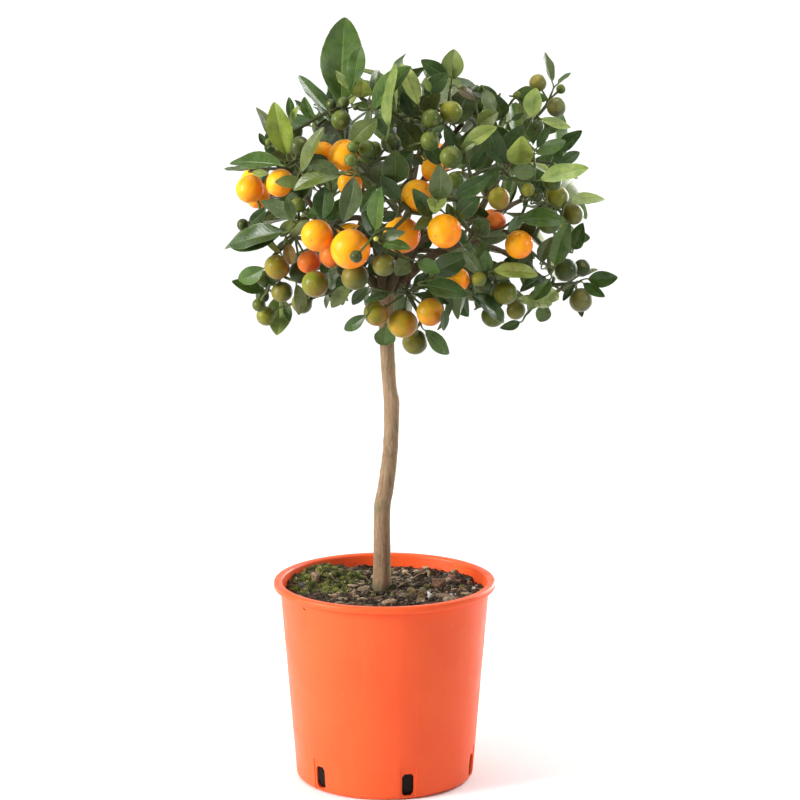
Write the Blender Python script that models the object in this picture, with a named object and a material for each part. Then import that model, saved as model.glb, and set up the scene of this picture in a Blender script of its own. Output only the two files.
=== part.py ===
"""A small citrus tree, trained on one stem, in a round plastic nursery pot.

Metres, +Z up. The origin is the middle of the pot's underside, on the ground.
The front of the tree is at -Y. The pot and the soil are turned shapes, the
trunk and its limbs are one grown piece, each leafy spray is one grown piece
with its twigs, leaves and unripe fruits, and each ripe fruit is its own piece.

Leaves and fruits that show from the front are placed by the pixel of the
reference photograph where they are seen and by how far they lie under the
crown's surface. The rest follow a seeded rule over the whole crown.
"""
import math
import random

import bmesh
import bpy
from mathutils import Matrix, Vector, noise
from mathutils.bvhtree import BVHTree

# Driving dimensions of the pot
RIM_RADIUS = 0.105
POT_HEIGHT = 0.191
LIP_HEIGHT = 0.0064
WALL_TOP_RADIUS = 0.0989
BASE_RADIUS = 0.0845
CORNER_RADIUS = 0.0052
WALL = 0.002
FLOOR_THICKNESS = 0.003
BASE_PAD_RADIUS = 0.048
FOOT_RING_INNER = 0.072
BASE_GROOVE_DEPTH = 0.0012
RIM_ROUNDING = 0.0026
RIM_EASING = 0.0018
POT_SIDES = 36
SLOT_COUNT = 6
SLOT_WIDTH = 0.0112
SLOT_TOP = 0.0255
SLOT_FOOT = 0.0038
SLOT_SHOULDER = 0.003
SLOT_REACH = (0.0755, 0.100)
FIRST_SLOT_ANGLE = math.radians(15)

# Soil and trunk
GAP = 0.0003
SOIL_LEVEL = 0.180
SOIL_SIDES = 30
SOIL_RINGS = 4
SOIL_LUMPS = 0.0035
MOUND_HEIGHT = 0.008
MOUND_CENTRE = (-0.060, 0.050)
MOUND_RADIUS = 0.045
HOLE_DEPTH = 0.060
TRUNK_SIDES = 9

# How the reference photograph sees the tree: eye, tilt and pixels per unit of tangent
EYE = Vector((0.0145, -2.5, 0.8485))
TILT = math.radians(10.98)
PICTURE_SCALE = 2725.0
PICTURE_MIDDLE = 400.0

# The crown as an ellipsoid
CROWN_CENTRE = Vector((0.0345, 0.0, 0.566))
CROWN_HALF = Vector((0.186, 0.160, 0.156))

# Trunk in the photograph: pixel across, pixel down, width in pixels
TRUNK_SEEN = (
    (382.1, 560, 17.5), (382.1, 510, 16.5), (385.2, 490, 16), (388.6, 466, 15.4), (390.8, 440, 14.6),
    (391.5, 405, 15.6), (389.5, 385, 14), (387.2, 345, 14.5), (386.4, 314, 16.5), (385, 292, 21),
)
# Knots on the trunk: pixel across, pixel down, size in pixels
KNOTS_SEEN = ((398, 401, 5), (385, 418, 4), (397, 446, 4), (375, 507, 4))

# Where each spray starts, at the end of a limb: pixel across, pixel down, depth in metres behind the trunk
SPRAY_STARTS = {
    "front_far_left": (300, 238, -0.040),
    "front_left": (338, 222, -0.066),
    "front_low_left": (345, 282, -0.040),
    "front_middle": (395, 214, -0.078),
    "front_low_middle": (408, 285, -0.058),
    "front_right": (452, 222, -0.072),
    "front_low_right": (480, 272, -0.052),
    "front_far_right": (528, 236, -0.040),
    "low_right": (545, 280, 0.000),
    "crest_left": (345, 140, -0.020),
    "crest_middle": (410, 128, -0.036),
    "crest_right": (462, 124, -0.020),
    "crest_far_right": (518, 150, -0.010),
    "shoulder_left": (292, 176, 0.000),
    "back_left": (318, 230, 0.062),
    "back_low_middle": (398, 275, 0.066),
    "back_middle": (390, 195, 0.088),
    "back_right": (470, 245, 0.074),
    "back_far_right": (522, 200, 0.056),
    "back_crest": (425, 130, 0.052),
}
# The main limbs, each with its fork and the sprays that it feeds
LIMBS = (
    ((338, 258, 0.010), ("front_far_left", "front_low_left", "shoulder_left", "back_left")),
    ((372, 226, -0.024), ("front_left", "crest_left", "front_middle")),
    ((416, 250, -0.022), ("front_low_middle", "front_right", "front_low_right")),
    ((410, 205, 0.014), ("crest_middle", "crest_right", "back_crest")),
    ((468, 240, 0.010), ("front_far_right", "low_right", "crest_far_right", "back_far_right")),
    ((408, 244, 0.044), ("back_low_middle", "back_middle", "back_right")),
)
LIMB_RADIUS = 0.0046
FORK_RADIUS = 0.0034
SPRAY_START_RADIUS = 0.0022

# Ripe and turning fruits: pixel across, pixel down, radius in pixels, millimetres under the crown's surface
RIPE_SEEN = (
    (250, 189, 14.5, 0), (258, 196, 13, 27), (280, 183, 14.5, 10), (344, 155, 16, 10),
    (317, 235.5, 16.5, 4), (350.5, 249, 20.5, 0), (309, 262, 12, 28), (333, 255, 14, 44),
    (402, 235, 19, 26), (418, 196, 17, 34), (444.5, 231, 17.5, 6), (496, 222, 10.5, 26),
    (519, 244.5, 14.5, 6), (458, 279.5, 12, 12), (402.5, 323.5, 15.5, 6), (430.5, 312, 14.5, 6),
    (376, 313.5, 13, 8), (277, 267, 13, 8), (315, 284, 13.5, 6), (499, 198.5, 11.5, 14),
    (323, 153, 12, 30), (350, 184, 13, 44), (433, 170, 12, 46), (468, 202, 12, 46),
)
# Unripe fruits, in the same terms
GREEN_SEEN = (
    (341, 120, 10, 5), (331.5, 104, 5.5, 14), (343.5, 102.5, 6, 8), (355.5, 107.5, 3, 2),
    (353, 147, 6, 0), (351, 160, 7, 0), (367, 149, 9, 4), (391, 143, 10.5, 16), (431, 119, 10, 6),
    (451, 112, 11.5, 4), (430, 141, 10, 5), (451, 157, 11.5, 3), (455, 180, 9, 26), (300, 146, 10, 4),
    (298, 205, 8, 18), (243, 225, 6.5, 6), (269, 142, 4, 4), (517, 95, 4, 2), (538, 83, 9, 2),
    (561, 89, 5, 6), (556.5, 107, 10, 4), (538, 126.5, 6, 8), (552, 181, 10, 6), (528, 190, 7, 3),
    (537, 195, 7, 8), (557, 197, 12, 4), (573, 214, 11, 4), (549, 222, 12, 12), (566, 270, 12, 8),
    (582, 268, 9, 4), (581, 300, 12.5, 2), (301, 272, 12.5, 14), (265, 279, 9, 6), (262.5, 296, 7, 10),
    (282, 292, 11, 4), (302, 303, 11, 12), (259, 305, 7, 4), (266, 316, 10, 2), (356, 256.5, 6.5, -16),
    (355, 277, 14, 4), (384, 265, 12, 2), (415, 342, 13, 4), (443, 280, 9, 20), (479, 279, 7.5, 4),
    (485, 284, 8, 8), (503, 271, 10, 18), (505.5, 293, 12, 4), (516, 310, 10, 4), (493, 316, 12, 10),
    (376, 239, 2.5, 0),
)
# Leaves: foot across and down, tip across and down, width, all in pixels, and millimetres under the surface
LEAVES_SEEN = (
    # Crest, left half
    (341, 104, 345, 17, 44, 22), (354, 84, 361, 45, 18, 10), (348, 90, 336, 70, 8, 15),
    (361, 98, 362, 75, 19, 5), (331, 133, 299, 75, 16, 10), (335, 151, 333, 131, 13, 2),
    (343, 136, 320, 134, 8, 5), (361, 112, 411, 66, 20, 0), (388, 128, 395.5, 63, 12, 0),
    (418, 105, 401, 63, 17, 10), (400, 124, 418, 104, 9, 10), (374, 118, 390, 108, 8, 10),
    (385, 136, 378, 118, 9, 8), (418, 150, 398, 122, 26, 28), (352, 142, 377, 120, 22, 5),
    (391, 112, 374, 84, 14, 20),
    # Left shoot
    (272, 143, 256.5, 107, 12, 0), (287, 155, 275, 106, 25, 0), (290, 119, 289, 97, 9, 0),
    (291, 124, 299, 106, 7, 0), (292, 155, 293, 118, 8, 6), (301, 172, 324, 127, 13, 0),
    (266, 146, 259, 133, 7, 8),
    # Crest, right half
    (448, 76, 421, 60, 16, 10), (452, 80, 454, 49, 23, 2), (424, 95, 448, 73, 18, 8),
    (421, 112, 440, 94, 20, 0), (430, 92, 424, 78, 7, 5), (450, 125, 468, 90, 28, 0),
    (466, 83, 497, 94, 13, 5), (458, 88, 476, 100, 10, 12), (484, 90, 495, 112, 14, 0),
    (478, 125, 498, 112, 18, 0), (449, 140, 497, 127, 16, 0), (462, 150, 476, 142, 9, 5),
    (503, 118, 500, 92, 20, 0), (511, 120, 524, 113, 6, 5), (512, 125, 528, 96, 16, 0),
    (532, 118, 536.5, 88, 19, 0), (522, 165, 522, 136, 27, 0), (505, 165, 487, 122, 20, 20),
    (500, 150, 524, 125, 16, 10), (552, 82, 545, 52, 9, 8), (558, 84, 571, 72, 5, 5),
    (540, 119, 571, 127, 10, 0), (534, 146, 549.5, 127.5, 10, 5), (536, 154, 566, 141, 14, 0),
    (507, 166, 537, 172, 16, 0), (413, 118, 402, 92, 13, 24), (470, 118, 462, 96, 14, 26),
    (440, 165, 422, 140, 16, 26),
    # Right side
    (540, 180, 586, 174, 17, 0), (512, 209, 564, 228, 17, 0), (570, 203, 605, 199.5, 12, 0),
    (519, 240, 536, 216, 15, 10), (520, 216, 509, 232, 10, 5), (480, 238, 508, 236, 15, 18),
    (555, 265, 570, 222, 22, 0), (577, 258, 583, 223, 15, 0), (541, 262, 552, 237, 13, 5),
    (543, 270, 559, 280, 8, 5), (588, 279, 618, 277.5, 17, 0), (577, 277, 598, 269, 7, 5),
    (583, 283, 605, 297, 11, 5), (575, 284, 563, 301, 8, 8), (579, 300, 582, 317, 9, 10),
    (560, 165, 580, 152, 12, 14), (565, 238, 590, 238, 14, 12),
    # Low on the right
    (493, 271, 538, 275, 16, 0), (517, 300, 552, 304, 13, 0), (462, 297, 505, 323, 18, 0),
    (562, 284, 545, 302, 18, 0), (550, 279, 534, 300, 16, 8), (545, 303, 540, 322, 16, 5),
    (546, 276, 520, 291, 11, 0), (415, 286, 467, 299, 20, 0), (432, 272, 470, 254, 24, 22),
    (463, 250, 480, 271, 11, 5), (488, 272, 486, 250, 14, 8), (504, 271, 519, 254, 14, 15),
    (521, 268, 534, 250, 14, 15), (476, 308, 490, 290, 12, 14), (520, 322, 500, 328, 10, 12),
    # Middle
    (418, 255, 392, 279, 18, 0), (418, 262, 440, 272, 15, 5), (382, 236, 405, 232, 11, 2),
    (382, 244, 411, 249, 11, 5), (378, 240, 372, 211, 13, 5), (376, 230, 381, 187, 17, 0),
    (395, 184, 395, 150, 28, 0), (438, 200, 439, 165, 24, 0), (435, 197, 435, 214, 20, 0),
    (430, 216, 413, 189, 18, 20), (455, 195, 490, 175, 18, 6), (457, 218, 480, 197, 20, 14),
    (462, 246, 488, 220, 22, 14), (400, 200, 380, 176, 16, 28), (478, 190, 500, 168, 15, 24),
    (470, 170, 486, 146, 14, 20),
    # Left of the middle
    (354, 177, 343, 222, 22, 0), (325, 187, 322, 219, 22, 0), (333, 212, 332, 238, 14, 5),
    (297, 221, 322, 214, 10, 5), (343, 174, 293, 190, 17, 0), (303, 182, 276, 182, 13, 5),
    (328, 168, 306, 155, 18, 15), (340, 173, 308, 163, 14, 8), (375, 186, 360, 212, 13, 14),
    # Left side
    (281, 165, 229, 162, 17, 0), (255, 170, 224, 169, 6, 5), (252, 172, 269, 174, 8, 4),
    (295, 220, 261, 201, 16, 0), (266, 208, 249, 223, 12, 10), (292, 218, 286, 197, 12, 5),
    (293, 220, 288, 244, 13, 5), (262, 228, 224, 249, 10, 0), (284, 232, 230, 246, 20, 0),
    (280, 253, 265, 240, 7, 0), (288, 243, 292, 265, 13, 0), (264, 268, 238, 280, 18, 0),
    (265, 290, 232, 281, 14, 0), (275, 284, 265, 275, 8, 8),
    # Low on the left and in the middle
    (296, 284, 299, 315, 13, 0), (278, 296, 277, 335, 26, 0), (350, 285, 331, 308, 15, 0),
    (366, 315, 344, 330, 13, 0), (385, 326, 383, 346, 22, 0), (425, 330, 450, 354, 16, 0),
    (443, 310, 444, 331, 9, 5), (393, 292, 365, 302, 9, 5), (407, 287, 405, 306, 12, 5),
    (284, 306, 290, 321, 8, 8), (330, 272, 322, 300, 14, 20), (368, 288, 352, 305, 12, 18),
)
# The crown's outline in the photograph, a little inside the leaf tips
CROWN_OUTLINE = (
    (232, 165), (256, 148), (266, 118), (295, 108), (322, 122), (340, 70), (358, 62), (384, 88),
    (420, 68), (455, 62), (488, 98), (530, 96), (558, 96), (562, 160), (585, 180), (590, 215), (580, 250),
    (600, 280), (572, 302), (505, 318), (446, 336), (384, 338), (345, 322), (290, 316), (256, 306),
    (238, 280), (230, 245), (238, 208),
)

# The rule for the leaves and fruits that the photograph doesn't show
SEED = 86
RULE_TRIES = 520
RULE_STRIDE = 151
RULE_LEAVES = 112
RULE_INSIDE = 26
RULE_SINKS = 6
RULE_SINK = 0.07
RULE_RIPE = 7
HIDING_REACH = 11.0
RULE_GREEN = 14
LEAF_LENGTH = (0.042, 0.066)
FRONT_FACING = -0.30
TOP_FACING = 0.75

# Leaf, twig and stalk sizes
LEAF_THICKNESS = 0.0013
LEAF_STATIONS = ((0.36, 1.0), (0.72, 0.76))
LONG_STALK = 0.008
LEAF_RATIO = (0.40, 0.60)
LEAF_FOLD = (0.10, 0.36)
LEAF_ARCH = (-0.02, 0.10)
STEEPEST_ROLL = math.radians(66)
BASE_SUNK = 0.012
PETIOLE_RADIUS = 0.0008
PETIOLE_REACH = 0.019
SHARPEST_STALK = math.radians(105)
SHORTEST_RUN = 0.009
FIRST_RUN = 0.008
PLACES_TRIED = 5
NODE_SETBACK = 0.007
TWIG_RADIUS = 0.0012
STALK_RADIUS = 0.0011
CALYX_RADIUS = 0.0024
KNUCKLE = 0.0026
KNUCKLE_SLACK = 0.05
BALL_SIDES = 9
BALL_RINGS = 5
LARGE_UNRIPE = 0.008
TWIG_CLEARANCE = 0.0032
SLIDES = (0.0, -0.006, 0.007, -0.012, 0.014, -0.018, 0.021, 0.028, -0.026, 0.036, 0.045)
FARTHEST_STRAY = 16.0
DEEPEST_SLOPE = 0.6
DEEPEST_SHORT = 0.012
SWINGS = (0.0, 0.20, -0.20, 0.40, -0.40, 0.65, -0.65)
SHRINKS = (1.0, 0.85, 0.7)


# Picture and space

def seen_at(across, down, depth):
    """The point at world depth y that the photograph shows at this pixel."""
    right = (across - PICTURE_MIDDLE) / PICTURE_SCALE
    up = (PICTURE_MIDDLE - down) / PICTURE_SCALE
    ray = Vector((right, math.cos(TILT) + up * math.sin(TILT), up * math.cos(TILT) - math.sin(TILT)))
    return EYE + ray * ((depth - EYE.y) / ray.y)


def pixel_of(point):
    """Where the photograph shows this point."""
    offset = point - EYE
    ahead = offset.y * math.cos(TILT) - offset.z * math.sin(TILT)
    above = offset.z * math.cos(TILT) + offset.y * math.sin(TILT)
    scale = PICTURE_SCALE / ahead
    return PICTURE_MIDDLE + offset.x * scale, PICTURE_MIDDLE - above * scale


def crown_front(across, down):
    """World depth of the crown's near surface at this pixel."""
    flat = seen_at(across, down, 0.0) - CROWN_CENTRE
    spread = (flat.x / CROWN_HALF.x) ** 2 + (flat.z / CROWN_HALF.z) ** 2
    return -CROWN_HALF.y * math.sqrt(max(0.02, 1.0 - spread))


def inside_outline(point):
    """Whether the photograph would show this point inside the crown's outline."""
    across, down = pixel_of(point)
    inside = False
    for (x1, y1), (x2, y2) in zip(CROWN_OUTLINE, CROWN_OUTLINE[1:] + CROWN_OUTLINE[:1]):
        if (y1 > down) != (y2 > down) and across < x1 + (down - y1) * (x2 - x1) / (y2 - y1):
            inside = not inside
    return inside


# Plain closed shapes, each a list of corners and a list of faces

def frame_across(direction):
    """Two unit vectors square to a direction and to each other."""
    across = direction.cross(Vector((0.13, 0.31, 0.94)))
    across.normalize()
    return across, direction.cross(across).normalized()


def tube(points, radii, sides):
    """A closed tube through the points."""
    corners = []
    faces = []
    across, _ = frame_across((points[1] - points[0]).normalized())
    for index, (point, radius) in enumerate(zip(points, radii)):
        before = points[max(index - 1, 0)]
        after = points[min(index + 1, len(points) - 1)]
        along = (after - before).normalized()
        across = (across - along * across.dot(along)).normalized()
        other = along.cross(across)
        for side in range(sides):
            turn = 2 * math.pi * side / sides
            corners.append(point + (across * math.cos(turn) + other * math.sin(turn)) * radius)
    for index in range(len(points) - 1):
        for side in range(sides):
            a = index * sides + side
            b = index * sides + (side + 1) % sides
            faces.append((a, b, b + sides, a + sides))
    faces.append(tuple(reversed(range(sides))))
    faces.append(tuple(range((len(points) - 1) * sides, len(points) * sides)))
    return corners, faces


def ball(centre, radius, pole, sides, rings, flatness=0.95):
    """A slightly flattened ball with one pole on its stalk."""
    across, other = frame_across(pole)
    corners = [centre + pole * radius * flatness]
    faces = []
    for ring in range(1, rings):
        polar = math.pi * ring / rings
        for side in range(sides):
            turn = 2 * math.pi * (side + 0.5 * ring) / sides
            out = (across * math.cos(turn) + other * math.sin(turn)) * math.sin(polar)
            corners.append(centre + (out + pole * math.cos(polar) * flatness) * radius)
    corners.append(centre - pole * radius * flatness)
    for side in range(sides):
        after = (side + 1) % sides
        faces.append((0, 1 + side, 1 + after))
        for ring in range(rings - 2):
            a = 1 + ring * sides + side
            b = 1 + ring * sides + after
            faces.append((a, a + sides, b))
            faces.append((b, a + sides, b + sides))
        last = 1 + (rings - 2) * sides
        faces.append((last + side, len(corners) - 1, last + after))
    return corners, faces


def turned(profile, sides):
    """A solid of revolution; the profile runs from axis to axis as (radius, height)."""
    corners = [Vector((0, 0, profile[0][1]))]
    for radius, height in profile[1:-1]:
        for side in range(sides):
            turn = 2 * math.pi * side / sides
            corners.append(Vector((radius * math.cos(turn), radius * math.sin(turn), height)))
    corners.append(Vector((0, 0, profile[-1][1])))
    faces = []
    for side in range(sides):
        after = (side + 1) % sides
        faces.append((0, 1 + after, 1 + side))
        for ring in range(len(profile) - 3):
            a = 1 + ring * sides + side
            b = 1 + ring * sides + after
            faces.append((a, b, b + sides, a + sides))
        last = 1 + (len(profile) - 3) * sides
        faces.append((last + side, last + after, len(corners) - 1))
    return corners, faces


# Leaves

class Leaf:
    """One blade on its stalk: foot, tip, the way it faces, its width, fold and arch."""

    def __init__(self, foot, tip, normal, width, fold, arch):
        self.foot = foot
        self.tip = tip
        self.normal = normal
        self.width = width
        self.fold = fold
        self.arch = arch
        self.node = None
        self.seen_tip = None

    def swung(self, sideways, lift, shrink):
        """A copy turned about its foot."""
        along = self.tip - self.foot
        side = along.cross(self.normal).normalized()
        turn = Matrix.Rotation(sideways, 3, self.normal) @ Matrix.Rotation(lift, 3, side)
        leaf = Leaf(self.foot, self.foot + turn @ along * shrink, turn @ self.normal,
                    self.width * shrink, self.fold, self.arch)
        leaf.node = self.node
        leaf.seen_tip = self.seen_tip
        return leaf

    def solid(self, thickness=LEAF_THICKNESS):
        """The leaf alone as a closed shape, from the twig once it has one."""
        root = self.foot if self.node is None else self.node
        way = self.way_from(root)
        body = Body()
        ring = body.ring(leaf_ring(root, way, self.frame()[0]))
        body.faces.append(tuple(ring))
        self.grow(body, ring, root, thickness=thickness)
        return body.corners, body.faces

    def way_from(self, root):
        """The way that the stalk leaves its root."""
        goal = self.foot
        if (self.foot - root).length <= LONG_STALK:
            goal = self.foot.lerp(self.tip, LEAF_STATIONS[0][0])
        return (goal - root).normalized()

    def alone(self, corners, start, across):
        """What grows from this ring, as a closed shape."""
        body = Body()
        ring = body.ring(corners)
        body.faces.append(tuple(ring))
        self.grow(body, ring, start, across)
        return body.corners, body.faces

    def seat_at(self, node):
        """Join the leaf to its place on the twig; a stalk that would fold back on the blade is cut short."""
        self.node = node
        stalk = self.foot - node
        blade = self.tip - self.foot
        if stalk.length > 1e-6 and stalk.angle(blade) > SHARPEST_STALK:
            self.foot = node.lerp(self.tip, 0.12)

    def frame(self):
        along = (self.tip - self.foot).normalized()
        side = along.cross(self.normal).normalized()
        return side, side.cross(along).normalized()

    def grow(self, body, ring, root, across=None, thickness=LEAF_THICKNESS):
        """Stalk and blade, from a ring of three corners round the root."""
        side, up = self.frame()
        run = self.tip - self.foot
        if (self.foot - root).length > LONG_STALK:
            way = ((self.foot - root).normalized() + run.normalized() * 1.2).normalized()
            foot = body.ring(leaf_ring(self.foot, way, side))
            body.band(ring, foot)
            ring = foot
        sections = []
        for place, share in LEAF_STATIONS:
            middle = self.foot + run * place + up * (4 * place * (1 - place) * self.arch * run.length)
            half = self.width * share / 2
            lift = up * half * self.fold
            sections.append([body.add(middle + side * half + lift), body.add(middle + up * thickness / 2),
                             body.add(middle - side * half + lift), body.add(middle - up * thickness / 2)])
        near, far = sections
        body.band(ring, near)
        for edge, spine in ((0, 1), (0, 3), (2, 1), (2, 3)):
            body.faces.append((near[spine], near[edge], far[edge]))
            body.faces.append((near[spine], far[edge], far[spine]))
        tip = body.add(self.tip)
        for step in range(4):
            body.faces.append((far[step], far[(step + 1) % 4], tip))


class Body:
    """Corners and faces gathered piece by piece."""

    def __init__(self):
        self.corners = []
        self.faces = []
        self.owners = []
        self.things = []

    def mark(self, owner):
        """Give the faces added since the last mark to this owner."""
        self.owners += [owner] * (len(self.faces) - len(self.owners))

    def crossing_owners(self):
        """Owners of the faces that meet others they share no corner with."""
        tree = BVHTree.FromPolygons(self.corners, self.faces)
        found = set()
        for a, b in tree.overlap(tree):
            if a < b and not set(self.faces[a]) & set(self.faces[b]):
                found.add(self.owners[b] or self.owners[a])
        found.discard(None)
        return found

    def add(self, corner):
        self.corners.append(corner)
        return len(self.corners) - 1

    def ring(self, corners):
        return [self.add(corner) for corner in corners]

    def drop(self, ring):
        """Take back the ring that was added last."""
        if ring:
            del self.corners[-len(ring):]

    def band(self, low, high):
        """Triangles between two rings, which may differ in number."""
        i = 0
        j = 0
        while i < len(low) or j < len(high):
            here = low[i % len(low)], high[j % len(high)]
            if j >= len(high) or (i < len(low) and (i + 1) / len(low) <= (j + 1) / len(high)):
                i += 1
                self.faces.append((*here, low[i % len(low)]))
            else:
                j += 1
                self.faces.append((*here, high[j % len(high)]))

    def knuckle(self, rings):
        """The hull round several rings, open at each of them."""
        self.faces += [tuple(rings[0])] if len(rings) == 1 else self.hull(rings)

    def fits(self, rings):
        """Whether every ring lies whole on the hull round them all."""
        return self.hull(rings) is not None

    def hull(self, rings):
        owners = [corner for ring in rings for corner in ring]
        work = bmesh.new()
        for corner in owners:
            work.verts.new(self.corners[corner])
        work.verts.index_update()
        bmesh.ops.convex_hull(work, input=list(work.verts))
        hull = [tuple(owners[corner.index] for corner in face.verts) for face in work.faces]
        work.free()
        open_ends = [set(ring) for ring in rings]
        skin = [face for face in hull if set(face) not in open_ends]
        if len(hull) - len(skin) != len(rings) or len(hull) != 2 * len(owners) - 4:
            return None
        return skin


def leaf_ring(middle, way, side):
    """Three corners of a leaf stalk that runs this way: right, top and left."""
    side = (side - way * side.dot(way)).normalized()
    up = side.cross(way)
    return [middle + (side - up * 0.6) * PETIOLE_RADIUS, middle + up * PETIOLE_RADIUS,
            middle - (side + up * 0.6) * PETIOLE_RADIUS]


def crosses_itself(shape):
    """Whether faces that share no corner meet."""
    corners, faces = shape
    tree = BVHTree.FromPolygons(corners, faces)
    return any(not set(faces[a]) & set(faces[b]) for a, b in tree.overlap(tree) if a < b)


def round_ring(middle, along, across, radius, sides):
    """Corners of a ring square to a direction, counted from a side."""
    flat = (across - along * across.dot(along)).normalized()
    other = along.cross(flat)
    turns = [2 * math.pi * side / sides for side in range(sides)]
    return [middle + (flat * math.cos(turn) + other * math.sin(turn)) * radius for turn in turns]


def leaf_facing(foot, tip, seen_width, draw):
    """A leaf that looks this wide from the eye, rolled with its upper face to the light."""
    middle = (foot + tip) / 2
    away = (middle - EYE).length
    width_seen = seen_width * away / PICTURE_SCALE
    length = (tip - foot).length
    if width_seen > LEAF_RATIO[1] * length:
        deeper = math.sqrt((width_seen / LEAF_RATIO[1]) ** 2 - length ** 2)
        foot = foot + (foot - EYE).normalized() * deeper
        length = (tip - foot).length
    width = max(width_seen, LEAF_RATIO[0] * length)
    roll = min(math.acos(min(1.0, width_seen / width)), STEEPEST_ROLL)
    along = (tip - foot).normalized()
    to_eye = (EYE - middle).normalized()
    facing = (to_eye - along * to_eye.dot(along)).normalized()
    side = along.cross(facing)
    normals = [facing * math.cos(roll) + side * math.sin(roll) * way for way in (1, -1)]
    normal = max(normals, key=lambda item: item.z)
    return Leaf(foot, tip, normal, width, draw.uniform(*LEAF_FOLD), draw.uniform(*LEAF_ARCH))


def leaf_from_picture(row, slide, shrink, draw):
    """A leaf where the photograph shows it, moved along the line of sight by slide."""
    foot_x, foot_y, tip_x, tip_y, width, sunk = row
    foot_depth = crown_front(foot_x, foot_y) + sunk / 1000 + BASE_SUNK + slide
    foot = seen_at(foot_x, foot_y, foot_depth)
    across = (seen_at(tip_x, tip_y, foot_depth) - foot).length
    deepest = max(DEEPEST_SLOPE * across, DEEPEST_SHORT)
    deeper = crown_front(tip_x, tip_y) + sunk / 1000 + slide - foot_depth
    tip = seen_at(tip_x, tip_y, foot_depth + max(-deepest, min(deepest, deeper)))
    leaf = leaf_facing(foot, foot.lerp(tip, shrink), width * shrink, draw)
    leaf.seen_tip = pixel_of(leaf.tip)
    return leaf


# Clearance between pieces

class Thing:
    """A shape that others keep clear of, with the spray that it belongs to."""

    def __init__(self, shape, owner, kind):
        corners, faces = shape
        self.owner = owner
        self.kind = kind
        self.tree = BVHTree.FromPolygons(corners, faces)
        self.centre = sum(corners, Vector()) / len(corners)
        self.reach = max((corner - self.centre).length for corner in corners)

    def meets(self, other):
        if (self.centre - other.centre).length > self.reach + other.reach:
            return False
        return bool(self.tree.overlap(other.tree))


class Fruit:
    """A round fruit with the pole that its stalk meets."""

    def __init__(self, centre, radius, ripe):
        self.centre = centre
        self.radius = radius
        self.ripe = ripe
        self.owner = nearest_spray(centre)
        inward = (START_POINTS[self.owner] - centre).normalized()
        self.pole = (inward * 0.7 + Vector((0, 0, 0.6))).normalized()

    def solid(self, grow=0.0):
        return ball(self.centre, self.radius + grow, self.pole, BALL_SIDES, BALL_RINGS)

    def alone(self, corners, start, across):
        """What grows from this ring, as a closed shape."""
        body = Body()
        ring = body.ring(corners)
        body.faces.append(tuple(ring))
        self.grow(body, ring, start, across)
        return body.corners, body.faces

    def grow(self, body, ring, root, across):
        """Stalk end and, where it is unripe, the fruit itself, from a ring of three corners."""
        if self.ripe:
            end = self.centre + self.pole * (self.radius * 0.95 + GAP)
            for height in (0.002, 0.0):
                middle = end + self.pole * height
                calyx = body.ring(round_ring(middle, -self.pole, across, CALYX_RADIUS, 3))
                body.band(ring, calyx)
                ring = calyx
            body.faces.append(tuple(ring))
            return
        large = self.radius > LARGE_UNRIPE
        sides = 6 if large else 5
        top = self.centre + self.pole * self.radius * 0.95
        neck = body.ring(round_ring(top, -self.pole, across, STALK_RADIUS, 3))
        body.band(ring, neck)
        ring = neck
        for angle in (45, 90, 135) if large else (60, 120):
            polar = math.radians(angle)
            middle = self.centre + self.pole * self.radius * math.cos(polar)
            size = self.radius * math.sin(polar)
            belt = body.ring(round_ring(middle, -self.pole, across, size, sides))
            body.band(ring, belt)
            ring = belt
        end = body.add(self.centre - self.pole * self.radius)
        for step in range(sides):
            body.faces.append((ring[step], ring[(step + 1) % sides], end))

    def on_stalk(self, place):
        """Stalk, and the fruit where it is unripe, as a closed shape of its own."""
        along = (self.stalk_end() - place).normalized()
        across, _ = frame_across(along)
        return self.alone(round_ring(place, along, across, STALK_RADIUS, 3), place, across)

    def stalk_end(self):
        return self.centre + self.pole * (self.radius * 0.95 + 0.006)


def nearest_spray(point):
    return min(START_POINTS, key=lambda name: (START_POINTS[name] - point).length)


def clear_of_fruits(point, fruits):
    """The point, pushed out of any fruit that it lies in."""
    for fruit in fruits:
        offset = point - fruit.centre
        room = fruit.radius + TWIG_CLEARANCE
        if offset.length < room:
            point = fruit.centre + offset.normalized() * room
    return point


def bent_round_fruits(start, end, fruits):
    """The run from start to end, with a bend wherever it would pass through a fruit."""
    points = [start, end]
    for _ in range(3):
        bends = []
        for first, second in zip(points, points[1:]):
            run = second - first
            for fruit in fruits:
                share = (fruit.centre - first).dot(run) / max(run.length_squared, 1e-12)
                if not 0.02 < share < 0.98:
                    continue
                offset = first + run * share - fruit.centre
                room = fruit.radius + TWIG_CLEARANCE
                if offset.length < room * 0.94:
                    if offset.length < 1e-5:
                        offset = frame_across(run.normalized())[0]
                    bends.append((points.index(second), fruit.centre + offset.normalized() * room))
                    break
        if not bends:
            break
        for index, bend in reversed(bends):
            points.insert(index, bend)
    return points


# The trunk and its limbs

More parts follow.
